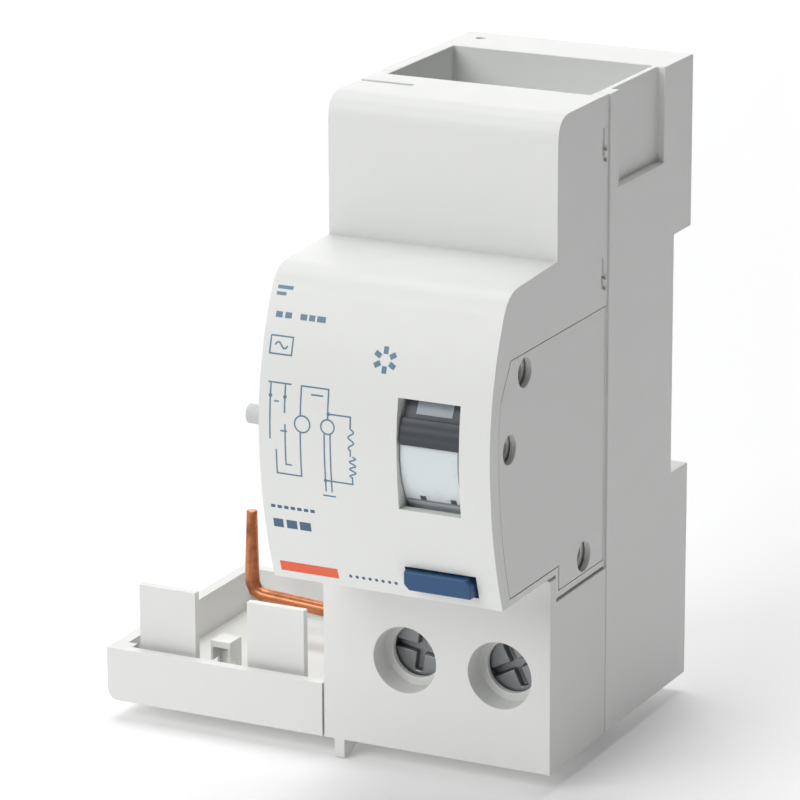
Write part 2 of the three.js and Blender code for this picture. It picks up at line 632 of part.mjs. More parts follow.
// ---------------------------------------------------------------- test button
function testButton() {
  const halfX = (BUTTON.x1 - BUTTON.x0) / 2;
  const halfZ = BUTTON.height / 2;
  const cap = prismY([
    [-halfX + BUTTON.chamfer, -halfZ], [halfX, -halfZ], [halfX, halfZ - BUTTON.chamfer],
    [halfX - BUTTON.chamfer, halfZ], [-halfX, halfZ], [-halfX, -halfZ + BUTTON.chamfer],
  ], 0, BUTTON.depth);
  const flange = box(-halfX, halfX, BUTTON.flange, BUTTON.flange + BUTTON.flangeThick,
    -halfZ, halfZ + BUTTON.rise);
  const stem = rodY(0, 0, BUTTON.stem, BUTTON.depth - EPS, BUTTON.depth + BUTTON.stemLength,
    ROUND_SMALL);
  return join(cap, flange, stem);
}

function springSeat() {
  const plate = box(-SEAT.half, SEAT.half, 0, SEAT.thick, BUTTON.z0 + 0.1 - BUTTON_Z, SEAT.rise);
  return cut(plate, rodY(0, 0, BUTTON.stem + FIT, -EPS, SEAT.thick + EPS, ROUND_SMALL));
}

// contact strip that the stem pushes against the fixed contact; it bends at its upper end
function testLeaf() {
  const length = LEAF.z1 - LEAF.z0;
  const strip = box(-LEAF.half, LEAF.half, 0, LEAF.thick, -length, LEAF.thick);
  const foot = box(-LEAF.half, LEAF.half, -LEAF.foot, LEAF.thick, 0, LEAF.thick);
  return join(strip, foot);
}

function testContact() {
  const strip = box(-CONTACT.half, CONTACT.half, 0, CONTACT.thick, LEAF.z0, CONTACT.z1);
  const dot = rodY(0, BUTTON_Z, CONTACT.dot, -CONTACT.dot / 2, EPS, ROUND_SMALL);
  return join(strip, dot);
}

place('test_button', testButton(), BLUE, [BUTTON_X, BUTTON.front, BUTTON_Z]);
const buttonSpringFoot = SEAT.y - GAP;
const buttonSpring = place('test_button_spring', springGeometry(BUTTON_SPRING.wire,
  BUTTON_SPRING.radius, buttonSpringFoot - BUTTON_BACK - GAP, BUTTON_SPRING.turns), STEEL,
  [BUTTON_X, buttonSpringFoot, BUTTON_Z]);
buttonSpring.rotation.x = Math.PI / 2;
place('test_spring_seat', springSeat(), GREY, [BUTTON_X, SEAT.y, BUTTON_Z]);
place('test_leaf', testLeaf(), COPPER, [BUTTON_X, LEAF.y, LEAF.z1]);
place('test_contact', testContact(), COPPER, [BUTTON_X, CONTACT.y, 0]);

// ---------------------------------------------------------------- trip shaft and lever
function tripShaft() {
  const rod = rodX(0, 0, SHAFT.radius, SHAFT.x0, SHAFT.x1);
  const arm = box(SHAFT_ARM.x0, SHAFT_ARM.x1, 0, SHAFT_ARM.reach, -SHAFT_ARM.half, SHAFT_ARM.half);
  return join(rod, arm);
}

function tripLever() {
  const hub = rodX(0, 0, LEVER.hub, LEVER.x0, LEVER.x1);
  const rear = box(LEVER.x0, LEVER.x1, 0, LEVER_REAR, -LEVER.half, LEVER.half);
  const front = box(LEVER.x0, LEVER.x1, -LEVER.front, 0, -LEVER.half, LEVER.half);
  const bore = rodX(0, 0, LEVER_PIN + FIT, LEVER.x0 - EPS, LEVER.x1 + EPS);
  return cut(join(hub, rear, front), bore);
}

place('trip_shaft', tripShaft(), GREY, [0, SHAFT.y, SHAFT.z]);
place('trip_lever', tripLever(), GREY, [0, LEVER.y, LEVER.z]);
place('lever_pin', rodX(0, 0, LEVER_PIN, -COVER_INNER + GAP, PLATE.x1 + 1, ROUND_SMALL), STEEL,
  [0, LEVER.y, LEVER.z]);

function mechanismPlate() {
  const plate = box(PLATE.x0, PLATE.x1, PLATE.y0, PLATE.y1, PLATE.z0, PLATE.z1);
  const foot = box(PLATE.x0, PLATE.x1, PLATE.y1 - 4, PLATE.y1, NOSE_BOTTOM + WALL + GAP,
    PLATE.z0 + EPS);
  const bores = [
    rodX(TOGGLE.y, TOGGLE.z, TOGGLE.pin + FIT, PLATE.x0 - EPS, PLATE.x1 + EPS),
    rodX(LEVER.y, LEVER.z, LEVER_PIN + FIT, PLATE.x0 - EPS, PLATE.x1 + EPS),
  ];
  return cut(join(plate, foot), ...bores);
}

place('mechanism_plate', mechanismPlate(), GREY);

// ---------------------------------------------------------------- relay
function relayYoke() {
  const outer = box(-RELAY.half, RELAY.half, -RELAY.depth, RELAY.depth, RELAY.z0, RELAY.z1);
  const inner = box(-RELAY.half + RELAY.plate, RELAY.half - RELAY.plate, -RELAY.depth - EPS,
    RELAY.depth + EPS, RELAY.z0 + RELAY.plate, RELAY.z1 - RELAY.plate);
  const bore = rodZ(0, 0, PLUNGER.radius + FIT, RELAY.z0 - EPS, RELAY.z0 + RELAY.plate + EPS);
  return cut(outer, inner, bore);
}

function relayCoil() {
  const z0 = RELAY.z0 + RELAY.plate + GAP;
  const z1 = RELAY.z1 - RELAY.plate - GAP;
  const waist = COIL.radius - COIL.waist;
  const profile = [
    [COIL.bore, z0], [COIL.radius, z0], [COIL.radius, z0 + COIL.flange],
    [waist, z0 + COIL.flange], [waist, z1 - COIL.flange], [COIL.radius, z1 - COIL.flange],
    [COIL.radius, z1], [COIL.bore, z1], [COIL.bore, z0],
  ].map(([r, z]) => new THREE.Vector2(r, z));
  const geometry = new THREE.LatheGeometry(profile, ROUND);
  geometry.rotateX(Math.PI / 2);
  return solid(geometry);
}

function relayPlunger() {
  const rod = rodZ(0, 0, PLUNGER.radius, PLUNGER.z0, PLUNGER.z1, ROUND);
  const collar = rodZ(0, 0, PLUNGER.collar, PLUNGER.collarZ, PLUNGER.collarZ + PLUNGER.collarThick, ROUND);
  return join(rod, collar);
}

const relayPlace = [RELAY.x, RELAY.y, 0];
place('relay_yoke', relayYoke(), STEEL, relayPlace);
place('relay_coil', relayCoil(), ENAMEL, relayPlace);
place('relay_plunger', relayPlunger(), DARK_STEEL, relayPlace);
const relaySpringFoot = PLUNGER.collarZ + PLUNGER.collarThick + GAP;
place('relay_spring', springGeometry(RELAY_SPRING.wire, RELAY_SPRING.radius,
  RELAY.z0 - GAP - relaySpringFoot, RELAY_SPRING.turns), STEEL,
  [RELAY.x, RELAY.y, relaySpringFoot]);

// ---------------------------------------------------------------- differential transformer
function ring(inner, outer, z0, z1) {
  const tube = rodZ(0, 0, outer, z0, z1, 2 * ROUND);
  return cut(tube, rodZ(0, 0, inner, z0 - EPS, z1 + EPS, 2 * ROUND));
}

function toroidWinding() {
  const half = TORUS.height / 2;
  const sleeve = ring(TORUS.inner, TORUS.outer, -half, half);
  const hollow = ring(CORE.inner - GAP, CORE.outer + GAP, -CORE.height / 2 - GAP,
    CORE.height / 2 + GAP);
  const open = box(-2.5, 2.5, -TORUS.outer - EPS, 0, -half - EPS, half + EPS);
  return cut(sleeve, hollow, open);
}

const toroidPlace = [0, TORUS.y, TORUS.z];
place('toroid_core', ring(CORE.inner, CORE.outer, -CORE.height / 2, CORE.height / 2), CORE_GREY,
  toroidPlace);
place('toroid_winding', toroidWinding(), ENAMEL, toroidPlace);

// ---------------------------------------------------------------- pole conductors
// bent copper: up-turned pin, run into the body, once through the transformer, down to the bar
function poleConductor(pole) {
  const side = Math.sign(RISE_X[pole]);
  const bar = TERM_X[side > 0 ? 1 : 0];
  const barRear = BAR.front + BAR.thick + GAP + WIRE;
  const stops = [
    [BREAKER_POLES[pole], PIN.y, PIN.tip],
    [BREAKER_POLES[pole], PIN.y, RUN_Z[pole] + (pole === 0 ? PIN_SAG : 0)],
    [-HALF, PIN.y, RUN_Z[pole]],
    [RISE_X[pole], PIN.y, RUN_Z[pole]],
    [RISE_X[pole], PIN.y, OVER_Z],
    [side * DOWN_X, PIN.y, OVER_Z],
    [side * DOWN_X, PIN.y, DROP.high],
    [bar, barRear, DROP.middle],
    [bar, barRear, DROP.low],
  ].map((stop) => new THREE.Vector3(...stop));
  return solid(sweep(roundedPath(stops, BEND), WIRE, ROUND_SMALL, WIRE_STEPS));
}

RISE_X.forEach((_, pole) => {
  place(`pole_conductor_${pole + 1}`, poleConductor(pole), COPPER);
});

// ---------------------------------------------------------------- terminals
function terminalScrew() {
  const head = rodY(0, 0, HEAD.radius, 0, HEAD.height);
  const shank = rodY(0, 0, SHANK, HEAD.height - EPS, BAR.front - GAP - HEAD_FRONT);
  const slots = [
    box(-HEAD.radius - EPS, HEAD.radius + EPS, -EPS, HEAD.slotDepth, -HEAD.slot / 2, HEAD.slot / 2),
    box(-HEAD.slot / 2, HEAD.slot / 2, -EPS, HEAD.slotDepth, -HEAD.radius + 1, HEAD.radius - 1),
  ];
  return cut(join(head, shank), ...slots);
}

function terminalCage() {
  const depth = CAGE_REAR - CAGE_FRONT;
  const half = CAGE.height / 2;
  const block = box(-CAGE.half, CAGE.half, 0, depth, -half, half);
  const opening = box(-CAGE.half + CAGE.wall, CAGE.half - CAGE.wall, CAGE.wall,
    depth - CAGE.wall, -half - EPS, half + EPS);
  const bore = rodY(0, 0, SHANK + FIT, -EPS, CAGE.wall + EPS);
  return cut(block, opening, bore);
}

function terminalBar() {
  return box(-BAR.half, BAR.half, 0, BAR.thick, TERM_Z - BAR.drop, BAR.top);
}

TERM_X.forEach((x, i) => {
  place(`terminal_screw_${i + 1}`, terminalScrew(), DARK_STEEL, [x, HEAD_FRONT, TERM_Z]);
  place(`terminal_cage_${i + 1}`, terminalCage(), STEEL, [x, CAGE_FRONT, TERM_Z]);
  place(`terminal_bar_${i + 1}`, terminalBar(), BRASS, [x, BAR.front, 0]);
});

// ---------------------------------------------------------------- circuit board
function circuitBoard() {
  return box(BOARD.x0, BOARD.x1, BOARD.y, BOARD.y + BOARD.thick, BOARD.z0, BOARD.z1);
}

const boardRear = BOARD.y + BOARD.thick;
place('circuit_board', circuitBoard(), BOARD_GREEN);
place('filter_capacitor', rodY(0, 0, CAPACITOR.radius, 0, CAPACITOR.height), BLACK,
  [(BOARD.x0 + BOARD.x1) / 2, boardRear + GAP, CAPACITOR.z]);
place('test_resistor', rodX(0, 0, RESISTOR.radius, BOARD.x0 + RESISTOR.margin,
  BOARD.x1 - RESISTOR.margin, ROUND_SMALL), TAN,
  [0, boardRear + GAP + RESISTOR.radius, RESISTOR.z]);

// ---------------------------------------------------------------- rail clip
function railClip() {
  const slide = box(-CLIP.half, CLIP.half, CLIP.y0, CLIP.y1, CLIP.z0, CLIP.z1);
  const flange = box(-CLIP.flange, CLIP.flange, CLIP.y0, CLIP.flangeY, CLIP.z0 + CLIP.toe, CLIP.z1);
  const hook = box(-CLIP.half, CLIP.half, CLIP.y0, CLIP.hookY, CLIP.z1 - EPS, CLIP.hookTop);
  const pull = box(-CLIP.half / 2, CLIP.half / 2, CLIP.y0 - EPS, CLIP.y1 + EPS,
    CLIP.z0 + WALL, CLIP.z0 + 2 * WALL);
  const pocket = box(-CLIP.pocket, CLIP.pocket, CLIP.y0 - EPS, CLIP.y1 + EPS,
    CLIP.pocketZ0, CLIP.pocketZ1);
  return cut(join(slide, flange, hook), pull, pocket);
}

place('rail_clip', railClip(), GREY);
const clipSpringFoot = CLIP.pegTop + GAP;
place('clip_spring', springGeometry(CLIP_SPRING.wire, CLIP_SPRING.radius,
  CLIP.pocketZ1 - GAP - clipSpringFoot, CLIP_SPRING.turns), STEEL,
  [0, (CLIP.y0 + CLIP.y1) / 2, clipSpringFoot]);

export default device;
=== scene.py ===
import json
import math

import bmesh
import bpy
from bpy.props import (
    FloatProperty, FloatVectorProperty, IntProperty, PointerProperty,
)
from mathutils import Matrix, Vector


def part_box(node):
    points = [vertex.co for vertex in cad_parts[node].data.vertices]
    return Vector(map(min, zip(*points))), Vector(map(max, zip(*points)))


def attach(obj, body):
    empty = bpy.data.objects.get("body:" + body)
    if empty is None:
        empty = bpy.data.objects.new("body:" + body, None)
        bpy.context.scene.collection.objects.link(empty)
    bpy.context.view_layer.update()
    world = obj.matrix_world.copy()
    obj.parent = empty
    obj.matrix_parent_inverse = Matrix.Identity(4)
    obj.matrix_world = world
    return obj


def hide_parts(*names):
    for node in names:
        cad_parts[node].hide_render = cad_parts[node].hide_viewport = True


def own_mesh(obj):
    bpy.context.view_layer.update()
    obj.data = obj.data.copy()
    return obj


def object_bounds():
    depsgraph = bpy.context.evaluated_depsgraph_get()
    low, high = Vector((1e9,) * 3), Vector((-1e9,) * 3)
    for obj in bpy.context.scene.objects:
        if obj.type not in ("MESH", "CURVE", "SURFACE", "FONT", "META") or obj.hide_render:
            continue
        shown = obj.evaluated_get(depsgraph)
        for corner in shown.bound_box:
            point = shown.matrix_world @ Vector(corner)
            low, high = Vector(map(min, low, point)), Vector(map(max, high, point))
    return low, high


bl_info = {
    "name": "Residual current block",
    "version": (1, 0, 0),
    "blender": (4, 5, 0),
    "location": "3D View > Sidebar > Block",
    "description": "Builds the visual model of a two-module residual current block round its frame",
    "category": "Object",
}

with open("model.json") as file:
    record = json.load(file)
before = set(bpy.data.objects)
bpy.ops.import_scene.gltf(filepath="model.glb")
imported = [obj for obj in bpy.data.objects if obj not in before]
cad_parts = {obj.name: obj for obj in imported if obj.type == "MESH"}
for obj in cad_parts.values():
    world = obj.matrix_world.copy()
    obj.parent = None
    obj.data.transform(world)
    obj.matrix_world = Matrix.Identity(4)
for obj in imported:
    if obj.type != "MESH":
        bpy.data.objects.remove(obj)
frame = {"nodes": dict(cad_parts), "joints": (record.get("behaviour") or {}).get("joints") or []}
CAD_LOW, CAD_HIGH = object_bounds()
MM = 0.001
HOUSING = "housing"


# ------------------------------------------------------------------ places taken from the frame
def low(node):
    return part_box(node)[0]


def high(node):
    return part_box(node)[1]


def middle(node):
    return (Vector(low(node)) + Vector(high(node))) / 2


def joint(name):
    return next(j for j in frame["joints"] if j["name"] == name)


COVER_RIGHT = high("front_cover")[0]
PART_Y = (low("rear_base")[1] + high("front_cover")[1]) / 2
NOSE_Y = low("front_cover")[1]
TOP = high("rear_base")[2]
BOTTOM = low("rear_base")[2]
PIN_Y = -12.0 * MM
HOOK_X = -36.8 * MM
HOOK_Y = -36.0 * MM
PIN_TIP = -28.5 * MM
PIVOT = Vector(joint("toggle_reset")["pos_m"])
CREST = 1.0 * MM
ABOVE = 40.0 * MM
BELOW = 61.0 * MM


def nose_front(z):
    """Y of the curved nose face at a height."""
    radius = ABOVE if z > CREST else BELOW
    return NOSE_Y + (z - CREST) ** 2 / (2 * radius)


# ------------------------------------------------------------------ settings
class MouldingSettings(bpy.types.PropertyGroup):
    """Housing mouldings"""
    edge_radius: FloatProperty(
        name="Edge radius", description="Rounding of the moulded edges",
        default=0.35 * MM, min=0.0, unit="LENGTH")
    edge_steps: IntProperty(
        name="Edge steps", description="Segments in a rounded edge", default=3, min=1)
    shell_colour: FloatVectorProperty(
        name="Shell colour", description="Colour of cover and base", size=3,
        subtype="COLOR", default=(0.83, 0.84, 0.82), min=0.0, max=1.0)
    lower_colour: FloatVectorProperty(
        name="Lower colour", description="Colour of terminal housing and tray", size=3,
        subtype="COLOR", default=(0.815, 0.82, 0.80), min=0.0, max=1.0)
    grain: FloatProperty(
        name="Grain", description="Size of the spark-eroded grain", default=0.22 * MM,
        min=0.0, unit="LENGTH")


class ControlSettings(bpy.types.PropertyGroup):
    """Toggle and test button"""
    grip_colour: FloatVectorProperty(
        name="Grip colour", description="Colour of the toggle grip", size=3,
        subtype="COLOR", default=(0.045, 0.052, 0.064), min=0.0, max=1.0)
    drum_colour: FloatVectorProperty(
        name="Drum colour", description="Colour of the toggle drum", size=3,
        subtype="COLOR", default=(0.74, 0.80, 0.81), min=0.0, max=1.0)
    button_colour: FloatVectorProperty(
        name="Button colour", description="Colour of the test button", size=3,
        subtype="COLOR", default=(0.022, 0.085, 0.21), min=0.0, max=1.0)
    button_edge: FloatProperty(
        name="Button edge", description="Rounding of the button", default=0.3 * MM,
        min=0.0, unit="LENGTH")


class MetalSettings(bpy.types.PropertyGroup):
    """Pins, screws and cages"""
    copper_colour: FloatVectorProperty(
        name="Copper colour", description="Colour of the bent pins", size=3,
        subtype="COLOR", default=(0.62, 0.24, 0.115), min=0.0, max=1.0)
    screw_colour: FloatVectorProperty(
        name="Screw colour", description="Colour of the terminal screws", size=3,
        subtype="COLOR", default=(0.19, 0.19, 0.19), min=0.0, max=1.0)
    pin_radius: FloatProperty(
        name="Pin radius", description="Radius of a pole conductor", default=1.12 * MM,
        min=0.0, unit="LENGTH")
    tip_radius: FloatProperty(
        name="Tip radius", description="Radius of a pin at its tip", default=0.8 * MM,
        min=0.0, unit="LENGTH")


class PrintSettings(bpy.types.PropertyGroup):
    """Marks printed on the nose"""
    ink_colour: FloatVectorProperty(
        name="Ink colour", description="Colour of the symbols and lines", size=3,
        subtype="COLOR", default=(0.10, 0.21, 0.31), min=0.0, max=1.0)
    accent_colour: FloatVectorProperty(
        name="Accent colour", description="Colour of the plain bar", size=3,
        subtype="COLOR", default=(0.86, 0.115, 0.03), min=0.0, max=1.0)
    thickness: FloatProperty(
        name="Ink thickness", description="Height of the ink above the moulding",
        default=0.02 * MM, min=0.0, unit="LENGTH")


class StageSettings(bpy.types.PropertyGroup):
    """Floor, light and camera"""
    azimuth: FloatProperty(
        name="Azimuth", description="Camera angle round the block",
        default=math.radians(26.65), subtype="ANGLE")
    elevation: FloatProperty(
        name="Elevation", description="Camera angle above the horizon",
        default=math.radians(16.49), subtype="ANGLE")
    roll: FloatProperty(
        name="Roll", description="Camera roll", default=math.radians(-0.2), subtype="ANGLE")
    distance: FloatProperty(
        name="Distance", description="Distance from the rail seat along the view",
        default=0.6648, unit="LENGTH")
    aim_right: FloatProperty(
        name="Aim right", description="Camera offset to its right", default=-23.16 * MM,
        unit="LENGTH")
    aim_up: FloatProperty(
        name="Aim up", description="Camera offset upwards", default=-8.58 * MM, unit="LENGTH")
    surround: FloatProperty(
        name="Surround", description="Strength of the light from all round", default=0.10, min=0.0)
    lens: FloatProperty(name="Lens", description="Focal length in millimetres", default=207.8)


def settings():
    scene = bpy.context.scene
    return scene.block_moulding, scene.block_controls, scene.block_metal, scene.block_print


# ------------------------------------------------------------------ node groups
def group_socket(group, name, direction, kind, default=None):
    socket = group.interface.new_socket(name=name, in_out=direction, socket_type=kind)
    if default is not None:
        socket.default_value = default


def new_group(name, inputs, outputs):
    group = bpy.data.node_groups.new(name, "ShaderNodeTree")
    for label, kind, default in inputs:
        group_socket(group, label, "INPUT", kind, default)
    for label, kind in outputs:
        group_socket(group, label, "OUTPUT", kind)
    return group, group.nodes.new("NodeGroupInput"), group.nodes.new("NodeGroupOutput")


def math_node(tree, operation, first, second):
    node = tree.nodes.new("ShaderNodeMath")
    node.operation = operation
    for socket, value in zip(node.inputs, (first, second)):
        if isinstance(value, (int, float)):
            socket.default_value = value
        else:
            tree.links.new(value, socket)
    return node.outputs[0]


def noise(tree, vector, scale, detail=2.0, rough=0.5):
    node = tree.nodes.new("ShaderNodeTexNoise")
    node.inputs["Detail"].default_value = detail
    node.inputs["Roughness"].default_value = rough
    tree.links.new(vector, node.inputs["Vector"])
    if isinstance(scale, (int, float)):
        node.inputs["Scale"].default_value = scale
    else:
        tree.links.new(scale, node.inputs["Scale"])
    return node.outputs["Fac"]


def object_position(tree):
    return tree.nodes.new("ShaderNodeTexCoord").outputs["Object"]


def moulded_grain_group():
    """Fine grain of a spark-eroded mould, with slow drifts of tone and gloss."""
    group, start, end = new_group(
        "moulded_grain",
        [("Grain Size", "NodeSocketFloat", 0.0002), ("Gloss", "NodeSocketFloat", 0.45),
         ("Drift", "NodeSocketFloat", 0.03)],
        [("Height", "NodeSocketFloat"), ("Roughness", "NodeSocketFloat"),
         ("Tone", "NodeSocketFloat")])
    place = object_position(group)
    scale = math_node(group, "DIVIDE", 1.0, start.outputs["Grain Size"])
    fine = noise(group, place, scale, 3.0, 0.6)
    broad = noise(group, place, 55.0, 2.0, 0.5)
    smear = noise(group, place, 260.0, 3.0, 0.55)
    centred = math_node(group, "SUBTRACT", smear, 0.5)
    swing = math_node(group, "MULTIPLY", centred, 0.22)
    gloss = math_node(group, "ADD", start.outputs["Gloss"], swing)
    away = math_node(group, "SUBTRACT", broad, 0.5)
    drift = math_node(group, "MULTIPLY", away, start.outputs["Drift"])
    group.links.new(fine, end.inputs["Height"])
    group.links.new(gloss, end.inputs["Roughness"])
    group.links.new(math_node(group, "ADD", drift, 0.5), end.inputs["Tone"])
    return group


def crevice_group():
    """How shut in a point is, for painted shade that darkens corners and recesses, made patchy by
    noise.
    """
    group, start, end = new_group(
        "crevice", [("Reach", "NodeSocketFloat", 0.0015), ("Amount", "NodeSocketFloat", 0.3)],
        [("Mask", "NodeSocketFloat")])
    shade = group.nodes.new("ShaderNodeAmbientOcclusion")
    shade.samples = 4
    group.links.new(start.outputs["Reach"], shade.inputs["Distance"])
    closed = math_node(group, "SUBTRACT", 1.0, shade.outputs["AO"])
    speckle = noise(group, object_position(group), 900.0, 2.0, 0.6)
    patchy = math_node(group, "MULTIPLY", closed, math_node(group, "ADD", speckle, 0.5))
    mask = math_node(group, "MULTIPLY", patchy, start.outputs["Amount"])
    group.links.new(mask, end.inputs["Mask"])
    return group


def drawn_metal_group():
    """Fine drawing or turning lines with patches of tarnish."""
    group, start, end = new_group(
        "drawn_metal",
        [("Stretch", "NodeSocketVector", (1.0, 1.0, 1.0)),
         ("Line Scale", "NodeSocketFloat", 3000.0), ("Gloss", "NodeSocketFloat", 0.3)],
        [("Height", "NodeSocketFloat"), ("Roughness", "NodeSocketFloat"),
         ("Tarnish", "NodeSocketFloat")])
    scaled = group.nodes.new("ShaderNodeVectorMath")
    scaled.operation = "MULTIPLY"
    group.links.new(object_position(group), scaled.inputs[0])
    group.links.new(start.outputs["Stretch"], scaled.inputs[1])
    lines = noise(group, scaled.outputs["Vector"], start.outputs["Line Scale"], 3.0, 0.6)
    patches = noise(group, object_position(group), 320.0, 4.0, 0.62)
    swing = math_node(group, "MULTIPLY", patches, 0.3)
    group.links.new(lines, end.inputs["Height"])
    group.links.new(math_node(group, "ADD", start.outputs["Gloss"], swing),
                    end.inputs["Roughness"])
    group.links.new(patches, end.inputs["Tarnish"])
    return group


def shared_group(name):
    if name not in bpy.data.node_groups:
        makers = {"moulded_grain": moulded_grain_group, "crevice": crevice_group,
                  "drawn_metal": drawn_metal_group}
        makers[name]()
    return bpy.data.node_groups[name]


# ------------------------------------------------------------------ materials
def new_material(name):
    material = bpy.data.materials.new(name)
    material.use_nodes = True
    return material, material.node_tree, material.node_tree.nodes["Principled BSDF"]


def add_group(tree, name, **values):
    node = tree.nodes.new("ShaderNodeGroup")
    node.node_tree = shared_group(name)
    for label, value in values.items():
        node.inputs[label.replace("_", " ")].default_value = value
    return node


def mixed_colour(tree, factor, first, second):
    node = tree.nodes.new("ShaderNodeMix")
    node.data_type = "RGBA"
    tree.links.new(factor, node.inputs["Factor"])
    for socket, value in ((node.inputs["A"], first), (node.inputs["B"], second)):
        if isinstance(value, tuple):
            socket.default_value = (*value, 1.0)
        else:
            tree.links.new(value, socket)
    return node.outputs["Result"]


def bumped(tree, shader, height, distance, strength=1.0):
    bump = tree.nodes.new("ShaderNodeBump")
    bump.inputs["Distance"].default_value = distance
    bump.inputs["Strength"].default_value = strength
    tree.links.new(height, bump.inputs["Height"])
    tree.links.new(bump.outputs["Normal"], shader.inputs["Normal"])


def darkened(colour, factor):
    return tuple(channel * factor for channel in colour)


def plastic(name, colour, gloss=0.45, grain=0.22 * MM, depth=0.006 * MM, painted_shade_amount=0.35, drift=0.12):
    """Moulded plastic: grain, tone drift and painted shade that darkens the corners."""
    material, tree, shader = new_material(name)
    surface = add_group(tree, "moulded_grain", Grain_Size=grain, Gloss=gloss, Drift=drift)
    # Painted shade: corners and recesses are darkened to a little over half the colour.
    corners = add_group(tree, "crevice", Reach=1.6 * MM, Amount=painted_shade_amount)
    body = mixed_colour(tree, surface.outputs["Tone"], darkened(colour, 0.96),
                        tuple(min(1.0, channel * 1.04) for channel in colour))
    final = mixed_colour(tree, corners.outputs["Mask"], body, darkened(colour, 0.55))
    tree.links.new(final, shader.inputs["Base Color"])
    tree.links.new(surface.outputs["Roughness"], shader.inputs["Roughness"])
    shader.inputs["IOR"].default_value = 1.5
    bumped(tree, shader, surface.outputs["Height"], depth)
    return material


def metal(name, colour, dull, gloss=0.28, stretch=(1.0, 1.0, 1.0), depth=0.004 * MM):
    """Bare or plated metal: fine lines, tarnish that takes it towards a duller tone, and painted
    shade that darkens its corners and recesses.
    """
    material, tree, shader = new_material(name)
    surface = add_group(tree, "drawn_metal", Stretch=stretch, Line_Scale=2600.0, Gloss=gloss)
    # Painted shade: corners and recesses are darkened towards a deep, dull tone.
    corners = add_group(tree, "crevice", Reach=1.0 * MM, Amount=0.6)
    ramp = tree.nodes.new("ShaderNodeMapRange")
    ramp.inputs["From Min"].default_value = 0.42
    ramp.inputs["From Max"].default_value = 0.68
    tree.links.new(surface.outputs["Tarnish"], ramp.inputs["Value"])
    body = mixed_colour(tree, ramp.outputs["Result"], colour, dull)
    final = mixed_colour(tree, corners.outputs["Mask"], body, darkened(dull, 0.4))
    tree.links.new(final, shader.inputs["Base Color"])
    tree.links.new(surface.outputs["Roughness"], shader.inputs["Roughness"])
    shader.inputs["Metallic"].default_value = 1.0
    bumped(tree, shader, surface.outputs["Height"], depth)
    return material


def winding(name, colour, axis, pitch):
    """Enamelled wire laid turn by turn along an axis."""
    material, tree, shader = new_material(name)
    wave = tree.nodes.new("ShaderNodeTexWave")
    wave.bands_direction = axis
    wave.inputs["Scale"].default_value = math.tau / 20 / pitch
    wave.inputs["Distortion"].default_value = 0.4
    tree.links.new(object_position(tree), wave.inputs["Vector"])
    surface = add_group(tree, "drawn_metal", Line_Scale=900.0, Gloss=0.25)
    body = mixed_colour(tree, wave.outputs["Fac"], darkened(colour, 0.35), colour)
    tree.links.new(body, shader.inputs["Base Color"])
    tree.links.new(surface.outputs["Roughness"], shader.inputs["Roughness"])
    bumped(tree, shader, wave.outputs["Fac"], 0.12 * MM)
    return material


def ink(name, colour):
    """Pad-printed ink, a little thin in places."""
    material, tree, shader = new_material(name)
    surface = add_group(tree, "moulded_grain", Grain_Size=0.3 * MM, Gloss=0.4, Drift=1.2)
    pale = tuple(channel * 0.9 + 0.05 for channel in colour)
    body = mixed_colour(tree, surface.outputs["Tone"], colour, pale)
    tree.links.new(body, shader.inputs["Base Color"])
    tree.links.new(surface.outputs["Roughness"], shader.inputs["Roughness"])
    bumped(tree, shader, surface.outputs["Height"], 0.004 * MM)
    return material


def floor_paint(name):
    """Matt white studio floor."""
    painted = plastic(name, (0.93, 0.93, 0.93), 0.8, 2 * MM, 0.01 * MM, 0.0, 0.05)
    shader = painted.node_tree.nodes["Principled BSDF"]
    shader.inputs["Emission Color"].default_value = (1.0, 1.0, 1.0, 1.0)
    shader.inputs["Emission Strength"].default_value = 0.12
    return painted


